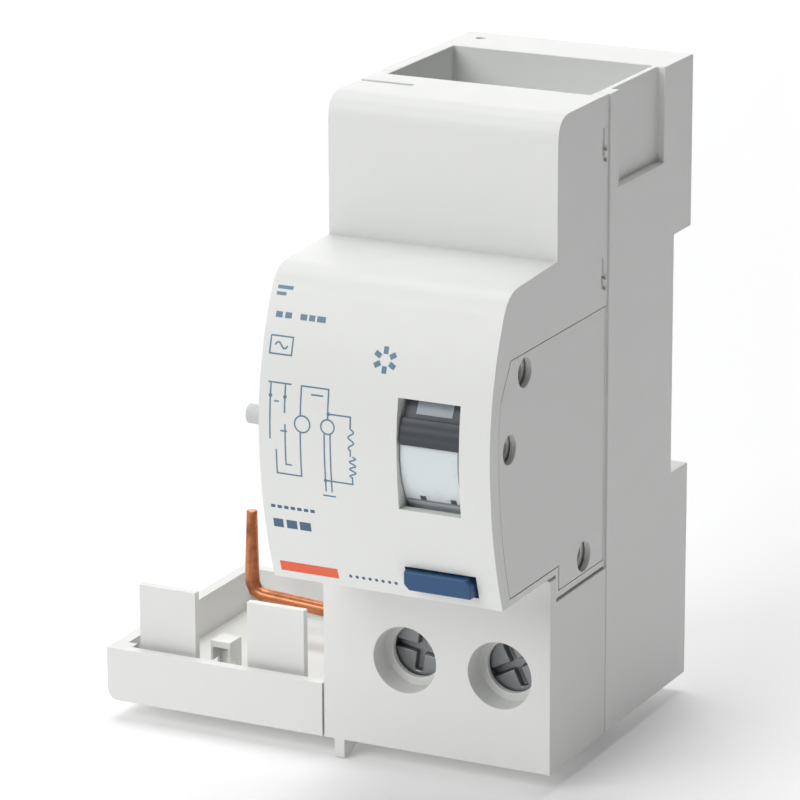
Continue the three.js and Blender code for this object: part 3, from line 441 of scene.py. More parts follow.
def material(name):
    if name in bpy.data.materials:
        return bpy.data.materials[name]
    moulding, controls, metals, print_ = settings()
    steel = (0.53, 0.54, 0.55)
    makers = {
        "shell_plastic": lambda: plastic(
            name, tuple(moulding.shell_colour), 0.46, moulding.grain),
        "panel_plastic": lambda: plastic(
            name, darkened(tuple(moulding.shell_colour), 0.985), 0.5, moulding.grain),
        "lower_plastic": lambda: plastic(
            name, tuple(moulding.lower_colour), 0.48, moulding.grain),
        "drum_plastic": lambda: plastic(
            name, tuple(controls.drum_colour), 0.3, 0.4 * MM, 0.003 * MM),
        "grip_plastic": lambda: plastic(
            name, tuple(controls.grip_colour), 0.42, 0.18 * MM, 0.01 * MM, 0.2, 0.3),
        "button_plastic": lambda: plastic(
            name, tuple(controls.button_colour), 0.4, 0.2 * MM, 0.006 * MM, 0.3, 0.3),
        "grey_plastic": lambda: plastic(name, (0.33, 0.34, 0.35), 0.5, 0.2 * MM),
        "copper_rod": lambda: metal(
            name, tuple(metals.copper_colour), (0.30, 0.085, 0.035), 0.22),
        "contact_brass": lambda: metal(name, (0.62, 0.45, 0.2), (0.4, 0.27, 0.11), 0.3),
        "plated_steel": lambda: metal(name, steel, darkened(steel, 0.6), 0.27),
        "dark_steel": lambda: metal(
            name, tuple(metals.screw_colour), darkened(tuple(metals.screw_colour), 0.45), 0.3),
        "ferrite_coating": lambda: plastic(name, (0.11, 0.12, 0.13), 0.55, 0.3 * MM),
        "core_winding": lambda: winding(name, (0.36, 0.10, 0.035), "X", 0.45 * MM),
        "coil_winding": lambda: winding(name, (0.36, 0.10, 0.035), "Z", 0.3 * MM),
        "board_resist": lambda: plastic(name, (0.025, 0.15, 0.06), 0.3, 0.8 * MM),
        "capacitor_sleeve": lambda: plastic(name, (0.015, 0.016, 0.02), 0.25, 0.5 * MM),
        "resistor_body": lambda: plastic(name, (0.55, 0.38, 0.2), 0.45, 0.3 * MM),
        "print_ink": lambda: ink(name, tuple(print_.ink_colour)),
        "print_accent": lambda: ink(name, tuple(print_.accent_colour)),
        # Painted shadow: grey for the thin lines along the toggle window's edges.
        "painted_shadow_grey": lambda: ink(name, (0.3, 0.32, 0.35)),
        "print_dark": lambda: ink(name, (0.07, 0.08, 0.095)),
        "print_blue": lambda: ink(name, (0.045, 0.11, 0.21)),
        "flag_plastic": lambda: plastic(name, (0.31, 0.36, 0.39), 0.35, 0.3 * MM),
        "floor_paint": lambda: floor_paint(name),
    }
    return makers[name]()


# ------------------------------------------------------------------ mesh helpers
def add_object(name, mesh):
    piece = bpy.data.objects.new(name, mesh)
    bpy.context.scene.collection.objects.link(piece)
    return piece


def finish_piece(piece, body, look):
    piece.data.materials.clear()
    piece.data.materials.append(material(look))
    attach(piece, body)
    return piece


def clean_mesh(mesh):
    """Joins split corners and flat facets, so that edges can be rounded."""
    bm = bmesh.new()
    bm.from_mesh(mesh)
    bmesh.ops.remove_doubles(bm, verts=bm.verts, dist=0.002 * MM)
    bmesh.ops.dissolve_limit(bm, angle_limit=math.radians(0.5), verts=bm.verts, edges=bm.edges)
    bmesh.ops.recalc_face_normals(bm, faces=bm.faces)
    bm.to_mesh(mesh)
    bm.free()


def applied(piece):
    """The piece with its modifiers worked into its mesh."""
    bpy.context.view_layer.update()
    seen = piece.evaluated_get(bpy.context.evaluated_depsgraph_get())
    mesh = bpy.data.meshes.new_from_object(seen)
    old = piece.data
    piece.modifiers.clear()
    piece.data = mesh
    bpy.data.meshes.remove(old)
    return piece


def cut_out(piece, cutters):
    for cutter in cutters:
        modifier = piece.modifiers.new("cut", "BOOLEAN")
        modifier.operation = "DIFFERENCE"
        modifier.solver = "EXACT"
        modifier.object = cutter
    applied(piece)
    for cutter in cutters:
        bpy.data.objects.remove(cutter)


def round_edges(piece, radius, steps, angle=28.0):
    modifier = piece.modifiers.new("round", "BEVEL")
    modifier.width = radius
    modifier.segments = steps
    modifier.limit_method = "ANGLE"
    modifier.angle_limit = math.radians(angle)
    modifier.miter_outer = "MITER_ARC"
    modifier.use_clamp_overlap = True
    modifier.harden_normals = False
    even = piece.modifiers.new("even", "WEIGHTED_NORMAL")
    even.keep_sharp = True
    piece.data.shade_smooth()
    piece.data.set_sharp_from_angle(angle=math.radians(40.0))
    applied(piece)


def smooth(piece, angle=32.0):
    piece.data.shade_smooth()
    piece.data.set_sharp_from_angle(angle=math.radians(angle))


def round_corner(mesh, chosen, radius, steps):
    """Rounds the edges whose two ends both pass a test."""
    bm = bmesh.new()
    bm.from_mesh(mesh)
    edges = [e for e in bm.edges if chosen(e.verts[0].co) and chosen(e.verts[1].co)]
    bmesh.ops.bevel(bm, geom=edges, offset=radius, offset_type="OFFSET", segments=steps,
                    profile=0.5, affect="EDGES")
    bm.to_mesh(mesh)
    bm.free()


def refined(node, name, body, look, radius, steps=3, cutters=(), change=None):
    """A detailed piece that stands for a CAD node: its exact shape, cut and with rounded edges."""
    mesh = frame["nodes"][node].data.copy()
    clean_mesh(mesh)
    if change:
        change(mesh)
    piece = add_object(name, mesh)
    if cutters:
        cut_out(piece, list(cutters))
    round_edges(piece, radius, steps)
    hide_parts(node)
    return finish_piece(piece, body, look)


def prism(name, outline, start, end, to_space):
    """A closed outline drawn out from start to end; to_space turns (u, v, w) into a point."""
    bm = bmesh.new()
    near = [bm.verts.new(to_space(u, v, start)) for u, v in outline]
    far = [bm.verts.new(to_space(u, v, end)) for u, v in outline]
    bm.faces.new(near)
    bm.faces.new(far)
    count = len(outline)
    for i in range(count):
        j = (i + 1) % count
        bm.faces.new((near[i], near[j], far[j], far[i]))
    bmesh.ops.recalc_face_normals(bm, faces=bm.faces)
    mesh = bpy.data.meshes.new(name)
    bm.to_mesh(mesh)
    bm.free()
    return add_object(name, mesh)


def along_x(u, v, w):
    return (w, u, v)


def along_z(u, v, w):
    return (u, v, w)


def circle(u, v, radius, count=32):
    turns = [math.tau * i / count for i in range(count)]
    return [(u + radius * math.cos(t), v + radius * math.sin(t)) for t in turns]


# ------------------------------------------------------------------ housing
LATCH_Z = (38.1 * MM, 20.0 * MM, -6.6 * MM, -31.0 * MM)


def latch_outline(y, z, side):
    """J-shaped slit of a snap latch, seen from the side; side is the Y direction of its foot."""
    outer = [(y, z), (y + side * 0.5 * MM, z)]
    foot = [(y + side * 0.75 * MM, z - 3.6 * MM), (y + side * 0.35 * MM, z - 4.5 * MM),
            (y - side * 0.7 * MM, z - 4.9 * MM), (y - side * 0.9 * MM, z - 4.4 * MM),
            (y - side * 0.1 * MM, z - 3.9 * MM)]
    return outer + foot


def latch_cutters(face_x, y, side):
    """Slits and ejector dots beside the parting line."""
    made = []
    for z in LATCH_Z:
        made.append(prism("latch_slit", latch_outline(y, z, side), face_x - 0.45 * MM,
                          face_x + 1 * MM, along_x))
        made.append(prism("latch_dot", circle(y - side * 0.5 * MM, z - 2.9 * MM, 0.45 * MM, 20),
                          face_x - 0.9 * MM, face_x + 1 * MM, along_x))
    return made


def panel_holes():
    """Centres of the three moulded holes of the side panel."""
    shaft = joint("trip_shaft_turn")["pos_m"]
    return ((NOSE_Y + 10.9 * MM, 10 * MM), (shaft[1], shaft[2]),
            (PART_Y - 7.1 * MM, -21.2 * MM))


def build_tongues():
    """Tongues that close the parting line from inside, one at each side."""
    sunk, thickness, half_width = 0.06 * MM, 0.9 * MM, 0.45 * MM
    foot, head = BOTTOM + 2 * MM, TOP - 0.4 * MM
    for name, side in (("tongue_right", 1.0), ("tongue_left", -1.0)):
        outer = side * (COVER_RIGHT - sunk)
        inner = outer - side * thickness
        tongue = prism(name, [
            (PART_Y - half_width, foot), (PART_Y + half_width, foot),
            (PART_Y + half_width, head), (PART_Y - half_width, head)],
            min(inner, outer), max(inner, outer), along_x)
        round_edges(tongue, 0.08 * MM, 2)
        finish_piece(tongue, HOUSING, "shell_plastic")


def build_rear_shell():
    moulding = settings()[0]
    cutters = [
        prism("bump_hole", circle(-14.1 * MM, 2.6 * MM, 0.7 * MM, 24), TOP - 1.5 * MM,
              TOP + 1 * MM, along_z),
    ]
    refined("rear_base", "rear_shell", HOUSING, "shell_plastic",
            moulding.edge_radius, moulding.edge_steps, cutters)


def build_front_shell():
    moulding = settings()[0]
    cutters = latch_cutters(COVER_RIGHT, high("front_cover")[1] - 1.1 * MM, -1.0)
    left = low("front_cover")[0]
    ridge_y = PART_Y - 6.9 * MM
    cutters.append(prism("top_slot", [
        (left - 1 * MM, ridge_y - 0.5 * MM), (left + 8.2 * MM, ridge_y - 0.5 * MM),
        (left + 8.2 * MM, ridge_y + 0.5 * MM), (left - 1 * MM, ridge_y + 0.5 * MM)],
        TOP - 1.0 * MM, TOP + 1 * MM, along_z))
    for y, z in panel_holes():
        cutters.append(prism("panel_bore", circle(y, z, 1.45 * MM, 32), COVER_RIGHT - 3 * MM,
                             COVER_RIGHT + 1 * MM, along_x))
    refined("front_cover", "front_shell", HOUSING, "shell_plastic",
            moulding.edge_radius, moulding.edge_steps, cutters)


def build_window_cheeks():
    """Thin walls inside the housing, one at each side of the toggle's window."""
    lo, hi = low("toggle_drum")[0], high("toggle_drum")[0]
    for name, x0, x1 in (("cheek_left", lo - 0.85 * MM, lo - 0.42 * MM),
                         ("cheek_right", hi + 0.42 * MM, hi + 0.85 * MM)):
        cheek = prism(name, [
            (NOSE_Y + 1.7 * MM, -8.6 * MM), (NOSE_Y + 9.5 * MM, -8.6 * MM),
            (NOSE_Y + 9.5 * MM, 8.6 * MM), (NOSE_Y + 1.7 * MM, 8.6 * MM)], x0, x1, along_x)
        round_edges(cheek, 0.08 * MM, 2)
        finish_piece(cheek, HOUSING, "shell_plastic")


def widen_panel(mesh):
    """Grows the panel's outline so that only a hairline seam is left round it."""
    points = [vertex.co for vertex in mesh.vertices]
    for axis in (1, 2):
        least = min(point[axis] for point in points)
        most = max(point[axis] for point in points)
        centre = (least + most) / 2
        scale = (most - least + 0.36 * MM) / (most - least)
        for point in points:
            point[axis] = centre + (point[axis] - centre) * scale


def build_side_panel():
    moulding = settings()[0]
    refined("side_panel", "side_cover", HOUSING, "panel_plastic",
            moulding.edge_radius * 0.5, moulding.edge_steps, change=widen_panel)


def build_terminal_block():
    moulding = settings()[0]
    refined("terminal_housing", "terminal_block", HOUSING, "lower_plastic",
            moulding.edge_radius, moulding.edge_steps)


def split_hollow_faces(mesh):
    """Cuts faces with inward corners into faces without any."""
    bm = bmesh.new()
    bm.from_mesh(mesh)
    bmesh.ops.connect_verts_concave(bm, faces=bm.faces)
    bm.to_mesh(mesh)
    bm.free()


def build_tray():
    moulding = settings()[0]
    left, bottom = low("breaker_tray")[0], low("breaker_tray")[2]

    def left_foot(point):
        return abs(point.x - left) < 0.05 * MM and abs(point.z - bottom) < 0.05 * MM

    def change(mesh):
        split_hollow_faces(mesh)
        round_corner(mesh, left_foot, 1.6 * MM, 6)

    notch = prism("hook_notch", [
        (HOOK_X - 1.25 * MM, HOOK_Y - 0.5 * MM), (HOOK_X + 1.15 * MM, HOOK_Y - 0.5 * MM),
        (HOOK_X + 1.15 * MM, HOOK_Y + 2.4 * MM), (HOOK_X - 1.25 * MM, HOOK_Y + 2.4 * MM)],
        bottom + 1.7 * MM, bottom + 8.6 * MM, along_z)
    refined("breaker_tray", "coupling_tray", HOUSING, "lower_plastic",
            moulding.edge_radius * 0.8, moulding.edge_steps, [notch],
            change=change)


# ------------------------------------------------------------------ controls
FACE_RADIUS = 13.2 * MM
GRIP_RADIUS = 13.72 * MM
FACE_LOW = math.radians(-44.0)
FACE_HIGH = math.radians(80.0)


def drum_arc(radius, start, end, steps):
    """Points in (y, z) on an arc round the toggle's axis; zero degrees points forward."""
    turns = [start + (end - start) * k / steps for k in range(steps + 1)]
    return [(PIVOT.y - radius * math.cos(t), PIVOT.z + radius * math.sin(t)) for t in turns]


def drum_shell(name, inner, outer, start, end, x0, x1, steps=40):
    outline = drum_arc(outer, start, end, steps) + drum_arc(inner, end, start, steps)
    return prism(name, outline, x0, x1, along_x)


def height_angle(z, radius=FACE_RADIUS):
    return math.asin(z * MM / radius)


def build_toggle():
    lo, hi = low("toggle_drum")[0] - 0.3 * MM, high("toggle_drum")[0] + 0.3 * MM
    refined("toggle_drum", "reset_drum", "toggle", "drum_plastic", 0.12 * MM, 2)
    face = drum_shell("drum_face", 12.03 * MM, FACE_RADIUS, FACE_LOW, FACE_HIGH, lo, hi)
    round_edges(face, 0.15 * MM, 3)
    finish_piece(face, "toggle", "drum_plastic")
    build_grip(lo, hi)
    build_drum_marks(lo, hi)


def build_grip(lo, hi):
    """Charcoal bar with three fine ribs across its front."""
    start, end = height_angle(1.2), height_angle(4.75)
    steps = 48
    outline = []
    for k in range(steps + 1):
        t = start + (end - start) * k / steps
        rib = 0.035 * MM * (0.5 + 0.5 * math.cos(math.tau * 3.0 * k / steps))
        outline.append((PIVOT.y - (GRIP_RADIUS - rib) * math.cos(t),
                        PIVOT.z + (GRIP_RADIUS - rib) * math.sin(t)))
    outline += drum_arc(FACE_RADIUS - 0.4 * MM, end, start, 12)
    grip = prism("reset_grip", outline, lo + 0.1 * MM, hi - 0.1 * MM, along_x)
    round_edges(grip, 0.12 * MM, 3)
    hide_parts("toggle_grip")
    finish_piece(grip, "toggle", "grip_plastic")


def build_drum_marks(lo, hi):
    """Painted shade as a dark field above the grip with a pale rectangle on it, thin painted shadow
    lines along the drum's right side and foot, and two ticks below it.
    """
    film = FACE_RADIUS + 0.05 * MM
    fields = (
        # Painted shade: the dark field stands for the shadow in the window's recess above the grip.
        ("drum_painted_shade", 4.75, 8.6, lo + 0.15 * MM, hi - 0.15 * MM, film, "grip_plastic"),
        ("drum_flag", 5.3, 6.95, 5.6 * MM, 10.9 * MM, film + 0.06 * MM, "flag_plastic"),
        # Painted shadow: thin grey lines along the drum's right side and foot, where the window's
        # edge throws shade.
        ("drum_edge_shadow_side", -6.6, 1.1, 12.15 * MM, 12.38 * MM, film, "painted_shadow_grey"),
        ("drum_edge_shadow_foot", -7.0, -6.75, lo + 0.3 * MM, 12.38 * MM, film, "painted_shadow_grey"),
        ("drum_tick_left", -6.75, -6.1, 5.9 * MM, 6.75 * MM, film, "print_dark"),
        ("drum_tick_right", -6.75, -6.1, 10.4 * MM, 11.25 * MM, film, "print_dark"),
    )
    for name, z0, z1, x0, x1, outer, look in fields:
        piece = drum_shell(name, FACE_RADIUS - 0.1 * MM, outer, height_angle(z0),
                           height_angle(z1), x0, x1, 8)
        finish_piece(piece, "toggle", look)


def build_test_button():
    controls = settings()[1]
    refined("test_button", "push_button", "button", "button_plastic",
            controls.button_edge, 3)


# ------------------------------------------------------------------ prints
def ribbon(bm, points, width, thickness):
    """A printed stroke that follows the nose face: (x, z) points in millimetres."""
    fine = [Vector(points[0])]
    for start, end in zip(points, points[1:]):
        start, end = Vector(start), Vector(end)
        count = max(1, math.ceil((end - start).length / 0.5))
        fine += [start.lerp(end, k / count) for k in range(1, count + 1)]
    sections = []
    for i, point in enumerate(fine):
        ahead = (fine[min(i + 1, len(fine) - 1)] - point)
        behind = (point - fine[max(i - 1, 0)])
        first = behind.normalized() if behind.length else ahead.normalized()
        second = ahead.normalized() if ahead.length else behind.normalized()
        heading = (first + second).normalized() if (first + second).length > 0.01 else first
        across = Vector((-heading.y, heading.x))
        reach = width / 2 / max(0.5, abs(across.dot(Vector((-first.y, first.x)))))
        section = []
        for side, raised in ((1, True), (-1, True), (-1, False), (1, False)):
            spot = point + across * (side * reach)
            y = nose_front(spot.y * MM) + (-thickness if raised else 0.06 * MM)
            section.append(bm.verts.new((spot.x * MM, y, spot.y * MM)))
        sections.append(section)
    for first, second in zip(sections, sections[1:]):
        for k in range(4):
            n = (k + 1) % 4
            bm.faces.new((first[k], first[n], second[n], second[k]))
    bm.faces.new(sections[0])
    bm.faces.new(sections[-1])


def dot(bm, x, z, radius, thickness):
    """A printed spot on the nose face."""
    rings = []
    for raised in (True, False):
        ring = []
        for u, v in circle(x, z, radius, 20):
            y = nose_front(v * MM) + (-thickness if raised else 0.06 * MM)
            ring.append(bm.verts.new((u * MM, y, v * MM)))
        rings.append(ring)
    for k in range(20):
        n = (k + 1) % 20
        bm.faces.new((rings[0][k], rings[0][n], rings[1][n], rings[1][k]))
    bm.faces.new(rings[0])
    bm.faces.new(rings[1])


def arc_points(x, z, radius, start, end, steps):
    turns = [math.radians(start + (end - start) * k / steps) for k in range(steps + 1)]
    return [(x + radius * math.cos(t), z + radius * math.sin(t)) for t in turns]


def wave_points(x0, x1, z, height, waves, steps=32):
    return [(x0 + (x1 - x0) * k / steps, z + height * math.sin(math.tau * waves * k / steps))
            for k in range(steps + 1)]


def coil_points(x, z0, z1, width, turns, steps=36):
    return [(x + width * math.sin(math.tau * turns * k / steps), z0 + (z1 - z0) * k / steps)
            for k in range(steps + 1)]


CIRCUIT_LINES = (
    [(-15.5, 7.4), (-15.5, -0.4)], [(-13.3, 7.4), (-13.3, 3.4)], [(-15.9, 7.4), (-12.4, 7.4)],
    [(-10.9, 3.2), (-10.9, 7.4), (-6.8, 7.4), (-6.8, 3.4)], [(-9.4, 6.4), (-7.6, 6.4)],
    [(-14.6, -1.8), (-14.6, -5.2), (-10.9, -5.2), (-10.9, 1.1)],
    [(-13.2, 1.9), (-13.2, -3.8), (-12.3, -3.8)],
    [(-7.3, 1.3), (-7.3, -6.9)], [(-6.4, 1.3), (-6.4, -6.9)],
    [(-6.6, 4.1), (-3.4, 4.1), (-3.4, 2.4)], [(-3.4, -0.6), (-3.4, -1.4)],
    [(-3.2, -4.4), (-3.2, -5.3), (-7.4, -5.3)], [(-7.8, -7.5), (-5.9, -7.5)],
    [(-14.9, 4.9), (-14.2, 4.9)], [(-13.9, 0.9), (-12.9, 0.9)],
)


def print_piece(name, draw, look):
    bm = bmesh.new()
    draw(bm, settings()[3].thickness)
    bmesh.ops.recalc_face_normals(bm, faces=bm.faces)
    mesh = bpy.data.meshes.new(name)
    bm.to_mesh(mesh)
    bm.free()
    return finish_piece(add_object(name, mesh), HOUSING, look)


def draw_circuit(bm, thickness):
    """A plain circuit drawing: two poles through a ring, a coil and a test branch."""
    for points in CIRCUIT_LINES:
        ribbon(bm, points, 0.2, thickness)
    ribbon(bm, arc_points(-10.6, 2.2, 1.15, 0, 360, 32), 0.2, thickness)
    ribbon(bm, arc_points(-6.8, 2.3, 1.0, 0, 360, 28), 0.2, thickness)
    ribbon(bm, coil_points(-3.3, 2.4, -0.6, 0.4, 2), 0.2, thickness)
    ribbon(bm, coil_points(-3.1, -1.4, -4.4, 0.45, 3), 0.2, thickness)
    for x, z in ((-15.5, 5.6), (-13.3, 5.6), (-6.7, 4.1), (-7.3, -5.3)):
        dot(bm, x, z, 0.26, thickness)


def draw_symbols(bm, thickness):
    """Two bars, a row of dashes, and a square with a wave."""
    ribbon(bm, [(-16.3, 19.6), (-14.0, 19.6)], 0.42, thickness)
    ribbon(bm, [(-16.3, 18.8), (-14.9, 18.8)], 0.42, thickness)
    for x0, x1 in ((-15.9, -14.9), (-14.5, -13.5), (-12.2, -11.2), (-10.9, -10.0), (-9.7, -8.4)):
        ribbon(bm, [(x0, 16.2), (x1, 16.2)], 0.75, thickness)
    ribbon(bm, [(-16.1, 13.5), (-12.8, 13.5), (-12.8, 11.15), (-16.1, 11.15), (-16.1, 13.5)],
           0.2, thickness)
    ribbon(bm, wave_points(-15.4, -13.5, 12.32, 0.4, 1), 0.2, thickness)
    for k in range(6):
        turn = math.tau * (k + 0.5) / 6
        near = (1.1 + 0.8 * math.cos(turn), 12.2 + 0.8 * math.sin(turn))
        far = (1.1 + 1.75 * math.cos(turn), 12.2 + 1.75 * math.sin(turn))
        ribbon(bm, [near, far], 0.7, thickness)


def draw_bars(bm, thickness):
    """Thin dashes over a bolder rule."""
    for k in range(7):
        ribbon(bm, [(-16.0 + k, -10.2), (-15.35 + k, -10.2)], 0.45, thickness)
    for x0, x1 in ((-15.9, -14.4), (-13.9, -12.3), (-11.9, -10.2)):
        ribbon(bm, [(x0, -12.7), (x1, -12.7)], 1.25, thickness)


def draw_accent(bm, thickness):
    ribbon(bm, [(-15.9, -19.4), (-7.1, -19.4)], 1.5, thickness)


def draw_dots(bm, thickness):
    for k in range(8):
        dot(bm, -5.2 + k * 0.98, -19.45, 0.24, thickness)


def build_prints():
    print_piece("print_circuit", draw_circuit, "print_ink")
    print_piece("print_symbols", draw_symbols, "print_ink")
    print_piece("print_bars", draw_bars, "print_blue")
    print_piece("print_accent", draw_accent, "print_accent")
    print_piece("print_dots", draw_dots, "print_blue")


# ------------------------------------------------------------------ metal
def drawn_pin(pole_x, pole_y, tip_z):
    """Thins a conductor to its drawn size; its upright end tapers and leans a little inwards."""
    metals = settings()[2]
    nominal = 1.3 * MM
    upright = 11 * MM
    lean, shift, shift_run = 0.12 * MM, 0.5 * MM, 6 * MM

    def change(mesh):
        normals = [vertex.normal.copy() for vertex in mesh.vertices]
        for vertex, normal in zip(mesh.vertices, normals):
            point = vertex.co
            near = math.hypot(point.x - pole_x, point.y - pole_y) < 1.5 * nominal
            if near and point.z > tip_z - upright:
                share = (point.z - tip_z + upright) / upright
                radius = metals.pin_radius + (metals.tip_radius - metals.pin_radius) * share
                scale = radius / nominal
                point.x = pole_x + (point.x - pole_x) * scale + lean * share
                point.y = pole_y + (point.y - pole_y) * scale
            else:
                point -= normal * (nominal - metals.pin_radius)
            inboard = (point.x - pole_x - nominal) / shift_run
            point.x -= shift * min(1.0, max(0.0, 1.0 - inboard))
    return change


def build_pins():
    for number in (1, 2):
        node = f"pole_conductor_{number}"
        pole_x = low(node)[0] + 1.3 * MM
        refined(node, f"copper_pin_{number}", HOUSING, "copper_rod", 0.12 * MM, 2,
                change=drawn_pin(pole_x, PIN_Y, PIN_TIP))


def spun(centre, angle):
    """Turns a screw about its own axis, as it was left by the last driver."""
    turn = Matrix.Rotation(angle, 4, "Y")

    def change(mesh):
        mesh.transform(Matrix.Translation(centre) @ turn @ Matrix.Translation(-centre))
    return change


def build_screws():
    for number, angle in ((1, math.radians(8.0)), (2, math.radians(-27.0))):
        centre = Vector(joint(f"screw_{number}_turn")["pos_m"])
        refined(f"terminal_screw_{number}", f"clamp_screw_{number}", f"screw_{number}",
                "dark_steel", 0.16 * MM, 2, change=spun(centre, angle))
        refined(f"terminal_cage_{number}", f"lift_cage_{number}", f"cage_{number}",
                "plated_steel", 0.15 * MM, 2)


def build_plain(node, look):
    piece = frame["nodes"][node]
    piece.data.materials.clear()
    piece.data.materials.append(material(look))


INNER_LOOKS = {
    "toggle_pin": "plated_steel", "toggle_spring": "plated_steel",
    "test_spring_seat": "grey_plastic",
    "test_leaf": "copper_rod", "test_contact": "copper_rod", "trip_shaft": "grey_plastic",
    "trip_lever": "grey_plastic", "lever_pin": "plated_steel",
    "mechanism_plate": "grey_plastic", "relay_yoke": "plated_steel",
    "relay_coil": "coil_winding", "relay_plunger": "dark_steel",
    "relay_spring": "plated_steel", "toroid_core": "ferrite_coating",
    "toroid_winding": "core_winding", "terminal_bar_1": "contact_brass",
    "terminal_bar_2": "contact_brass", "circuit_board": "board_resist",
    "filter_capacitor": "capacitor_sleeve", "test_resistor": "resistor_body",
}


def build_mechanism():
    for node, look in INNER_LOOKS.items():
        build_plain(node, look)


def build_spring(node, name, axis, foot):
    """A coil spring copied from its node, with smooth faces, set on the housing."""
    piece = add_object(name, frame["nodes"][node].data.copy())
    clean_mesh(piece.data)
    smooth(piece, 60.0)
    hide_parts(node)
    finish_piece(piece, HOUSING, "plated_steel")
    anchor = list(middle(node))
    anchor[axis] = foot
    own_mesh(piece)


def build_test_spring():
    node = "test_button_spring"
    build_spring(node, "button_spring", 1, high(node)[1])


def build_rail_clip():
    refined("rail_clip", "din_clip", "rail_clip", "grey_plastic", 0.3 * MM, 3)
    node = "clip_spring"
    build_spring(node, "catch_spring", 2, low(node)[2])


# ------------------------------------------------------------------ stage
def build_stage():
    stage = bpy.context.scene.block_stage
    back = Vector((math.sin(stage.azimuth) * math.cos(stage.elevation),
                   -math.cos(stage.azimuth) * math.cos(stage.elevation),
                   math.sin(stage.elevation)))
    right = Vector((math.cos(stage.azimuth), math.sin(stage.azimuth), 0.0))
    up = back.cross(right)
    turn = Matrix.Rotation(stage.roll, 4, back)
    right = turn @ right
    up = turn @ up
    camera_data = bpy.data.cameras.new("camera")
    camera_data.lens = stage.lens
    camera_data.clip_start = 10 * MM
    camera = add_object("camera", camera_data)
    place = back * stage.distance + right * stage.aim_right + up * stage.aim_up
    axes = Matrix((right, up, back)).transposed().to_4x4()
    camera.matrix_world = Matrix.Translation(place) @ axes
    bpy.context.scene.camera = camera

    floor_size = 3.0
    bm = bmesh.new()
    bmesh.ops.create_grid(bm, x_segments=8, y_segments=8, size=floor_size)
    mesh = bpy.data.meshes.new("floor")
    bm.to_mesh(mesh)
    bm.free()
    floor = add_object("floor", mesh)
    floor.location = (0.0, 0.0, CAD_LOW.z - 0.2 * MM)
    floor.data.materials.append(material("floor_paint"))

    build_world(stage)
    for name, place, size, power in LAMPS:
        light = bpy.data.lights.new(name, "AREA")
        light.size = size
        light.energy = power
        lamp = add_object(name, light)
        lamp.location = place
        aim = Vector((0.0, -0.02, 0.0)) - Vector(place)
        lamp.rotation_euler = aim.to_track_quat("-Z", "Y").to_euler()
    bpy.context.scene.view_settings.view_transform = "Standard"


# name, place, width and power of the soft lamps
LAMPS = (
    ("key", (-0.42, -0.95, 0.62), 0.75, 7.2),
    ("top", (-0.15, 0.15, 1.15), 0.8, 8.5),
    ("rear", (-0.45, 0.95, 0.4), 0.8, 3.5),
)


def build_world(stage):
    """White surroundings, dimmer as a light than they look."""
    world = bpy.data.worlds.new("studio")
    bpy.context.scene.world = world
    world.use_nodes = True
    tree = world.node_tree
    glow = tree.nodes["Background"]
    glow.inputs["Color"].default_value = (0.97, 0.985, 1.0, 1.0)
    glow.inputs["Strength"].default_value = stage.surround
    white = tree.nodes.new("ShaderNodeBackground")
    white.inputs["Color"].default_value = (1.0, 1.0, 1.0, 1.0)
    path = tree.nodes.new("ShaderNodeLightPath")
    mix = tree.nodes.new("ShaderNodeMixShader")
    tree.links.new(path.outputs["Is Camera Ray"], mix.inputs[0])
    tree.links.new(glow.outputs[0], mix.inputs[1])
    tree.links.new(white.outputs[0], mix.inputs[2])
    tree.links.new(mix.outputs[0], tree.nodes["World Output"].inputs["Surface"])


# ------------------------------------------------------------------ operators
class BLOCK_OT_stage(bpy.types.Operator):
    """Add the floor, the lights and the camera"""
    bl_idname = "block.stage"
    bl_label = "Stage"

    def execute(self, context):
        build_stage()
        return {"FINISHED"}


class BLOCK_OT_housing(bpy.types.Operator):
    """Build the rear shell, front shell, side cover and terminal block"""
    bl_idname = "block.housing"
    bl_label = "Housing"

    def execute(self, context):
        build_rear_shell()
        build_front_shell()
        build_side_panel()
        build_terminal_block()
        build_tongues()
        build_window_cheeks()
        return {"FINISHED"}


class BLOCK_OT_tray(bpy.types.Operator):
    """Build the tray that takes the breaker"""
    bl_idname = "block.tray"
    bl_label = "Tray"

    def execute(self, context):
        build_tray()
        return {"FINISHED"}


class BLOCK_OT_controls(bpy.types.Operator):
    """Build the reset toggle and the test button"""
    bl_idname = "block.controls"
    bl_label = "Controls"

    def execute(self, context):
        build_toggle()
        build_test_button()
        build_test_spring()
        return {"FINISHED"}


class BLOCK_OT_metalwork(bpy.types.Operator):
    """Build the copper pins, the terminal screws and their lift cages"""
    bl_idname = "block.metalwork"
    bl_label = "Metalwork"

    def execute(self, context):
        build_pins()
        build_screws()
        return {"FINISHED"}


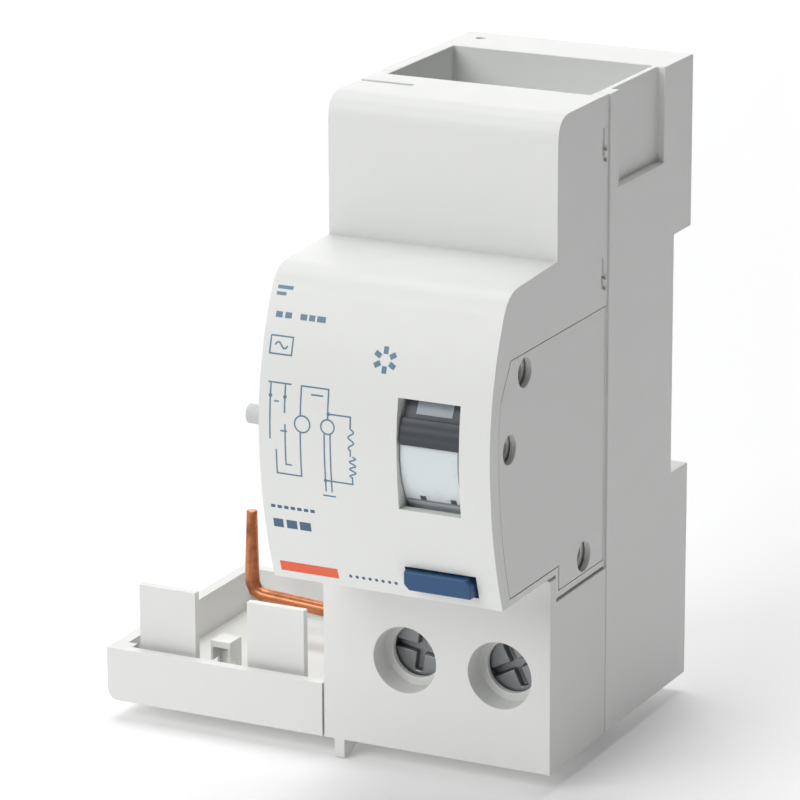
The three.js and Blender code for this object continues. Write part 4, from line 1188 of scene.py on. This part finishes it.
class BLOCK_OT_rail_clip(bpy.types.Operator):
    """Build the clip that holds the block on its rail"""
    bl_idname = "block.rail_clip"
    bl_label = "Rail clip"

    def execute(self, context):
        build_rail_clip()
        return {"FINISHED"}


class BLOCK_OT_prints(bpy.types.Operator):
    """Print the plain marks on the nose"""
    bl_idname = "block.prints"
    bl_label = "Prints"

    def execute(self, context):
        build_prints()
        return {"FINISHED"}


class BLOCK_OT_mechanism(bpy.types.Operator):
    """Finish the pieces inside the housing"""
    bl_idname = "block.mechanism"
    bl_label = "Mechanism"

    def execute(self, context):
        build_mechanism()
        return {"FINISHED"}


OPERATORS = (BLOCK_OT_stage, BLOCK_OT_housing, BLOCK_OT_tray, BLOCK_OT_controls,
             BLOCK_OT_metalwork, BLOCK_OT_rail_clip, BLOCK_OT_prints, BLOCK_OT_mechanism)
GROUPS = {
    "block_moulding": MouldingSettings, "block_controls": ControlSettings,
    "block_metal": MetalSettings, "block_print": PrintSettings, "block_stage": StageSettings,
}


class BLOCK_PT_panel(bpy.types.Panel):
    """Sizes, colours and builders of the block"""
    bl_idname = "BLOCK_PT_panel"
    bl_label = "Residual current block"
    bl_space_type = "VIEW_3D"
    bl_region_type = "UI"
    bl_category = "Block"

    def draw(self, context):
        for name in GROUPS:
            holder = getattr(context.scene, name)
            for key in holder.__annotations__:
                self.layout.prop(holder, key)
        for operator in OPERATORS:
            self.layout.operator(operator.bl_idname)


def register():
    for group in GROUPS.values():
        bpy.utils.register_class(group)
    for name, group in GROUPS.items():
        setattr(bpy.types.Scene, name, PointerProperty(type=group))
    for operator in OPERATORS:
        bpy.utils.register_class(operator)
    bpy.utils.register_class(BLOCK_PT_panel)


def unregister():
    bpy.utils.unregister_class(BLOCK_PT_panel)
    for operator in reversed(OPERATORS):
        bpy.utils.unregister_class(operator)
    for name in GROUPS:
        delattr(bpy.types.Scene, name)
    for group in GROUPS.values():
        bpy.utils.unregister_class(group)


def main():
    register()
    for operator in OPERATORS:
        family, name = operator.bl_idname.split(".")
        getattr(getattr(bpy.ops, family), name)()


if __name__ == "__main__":
    main()
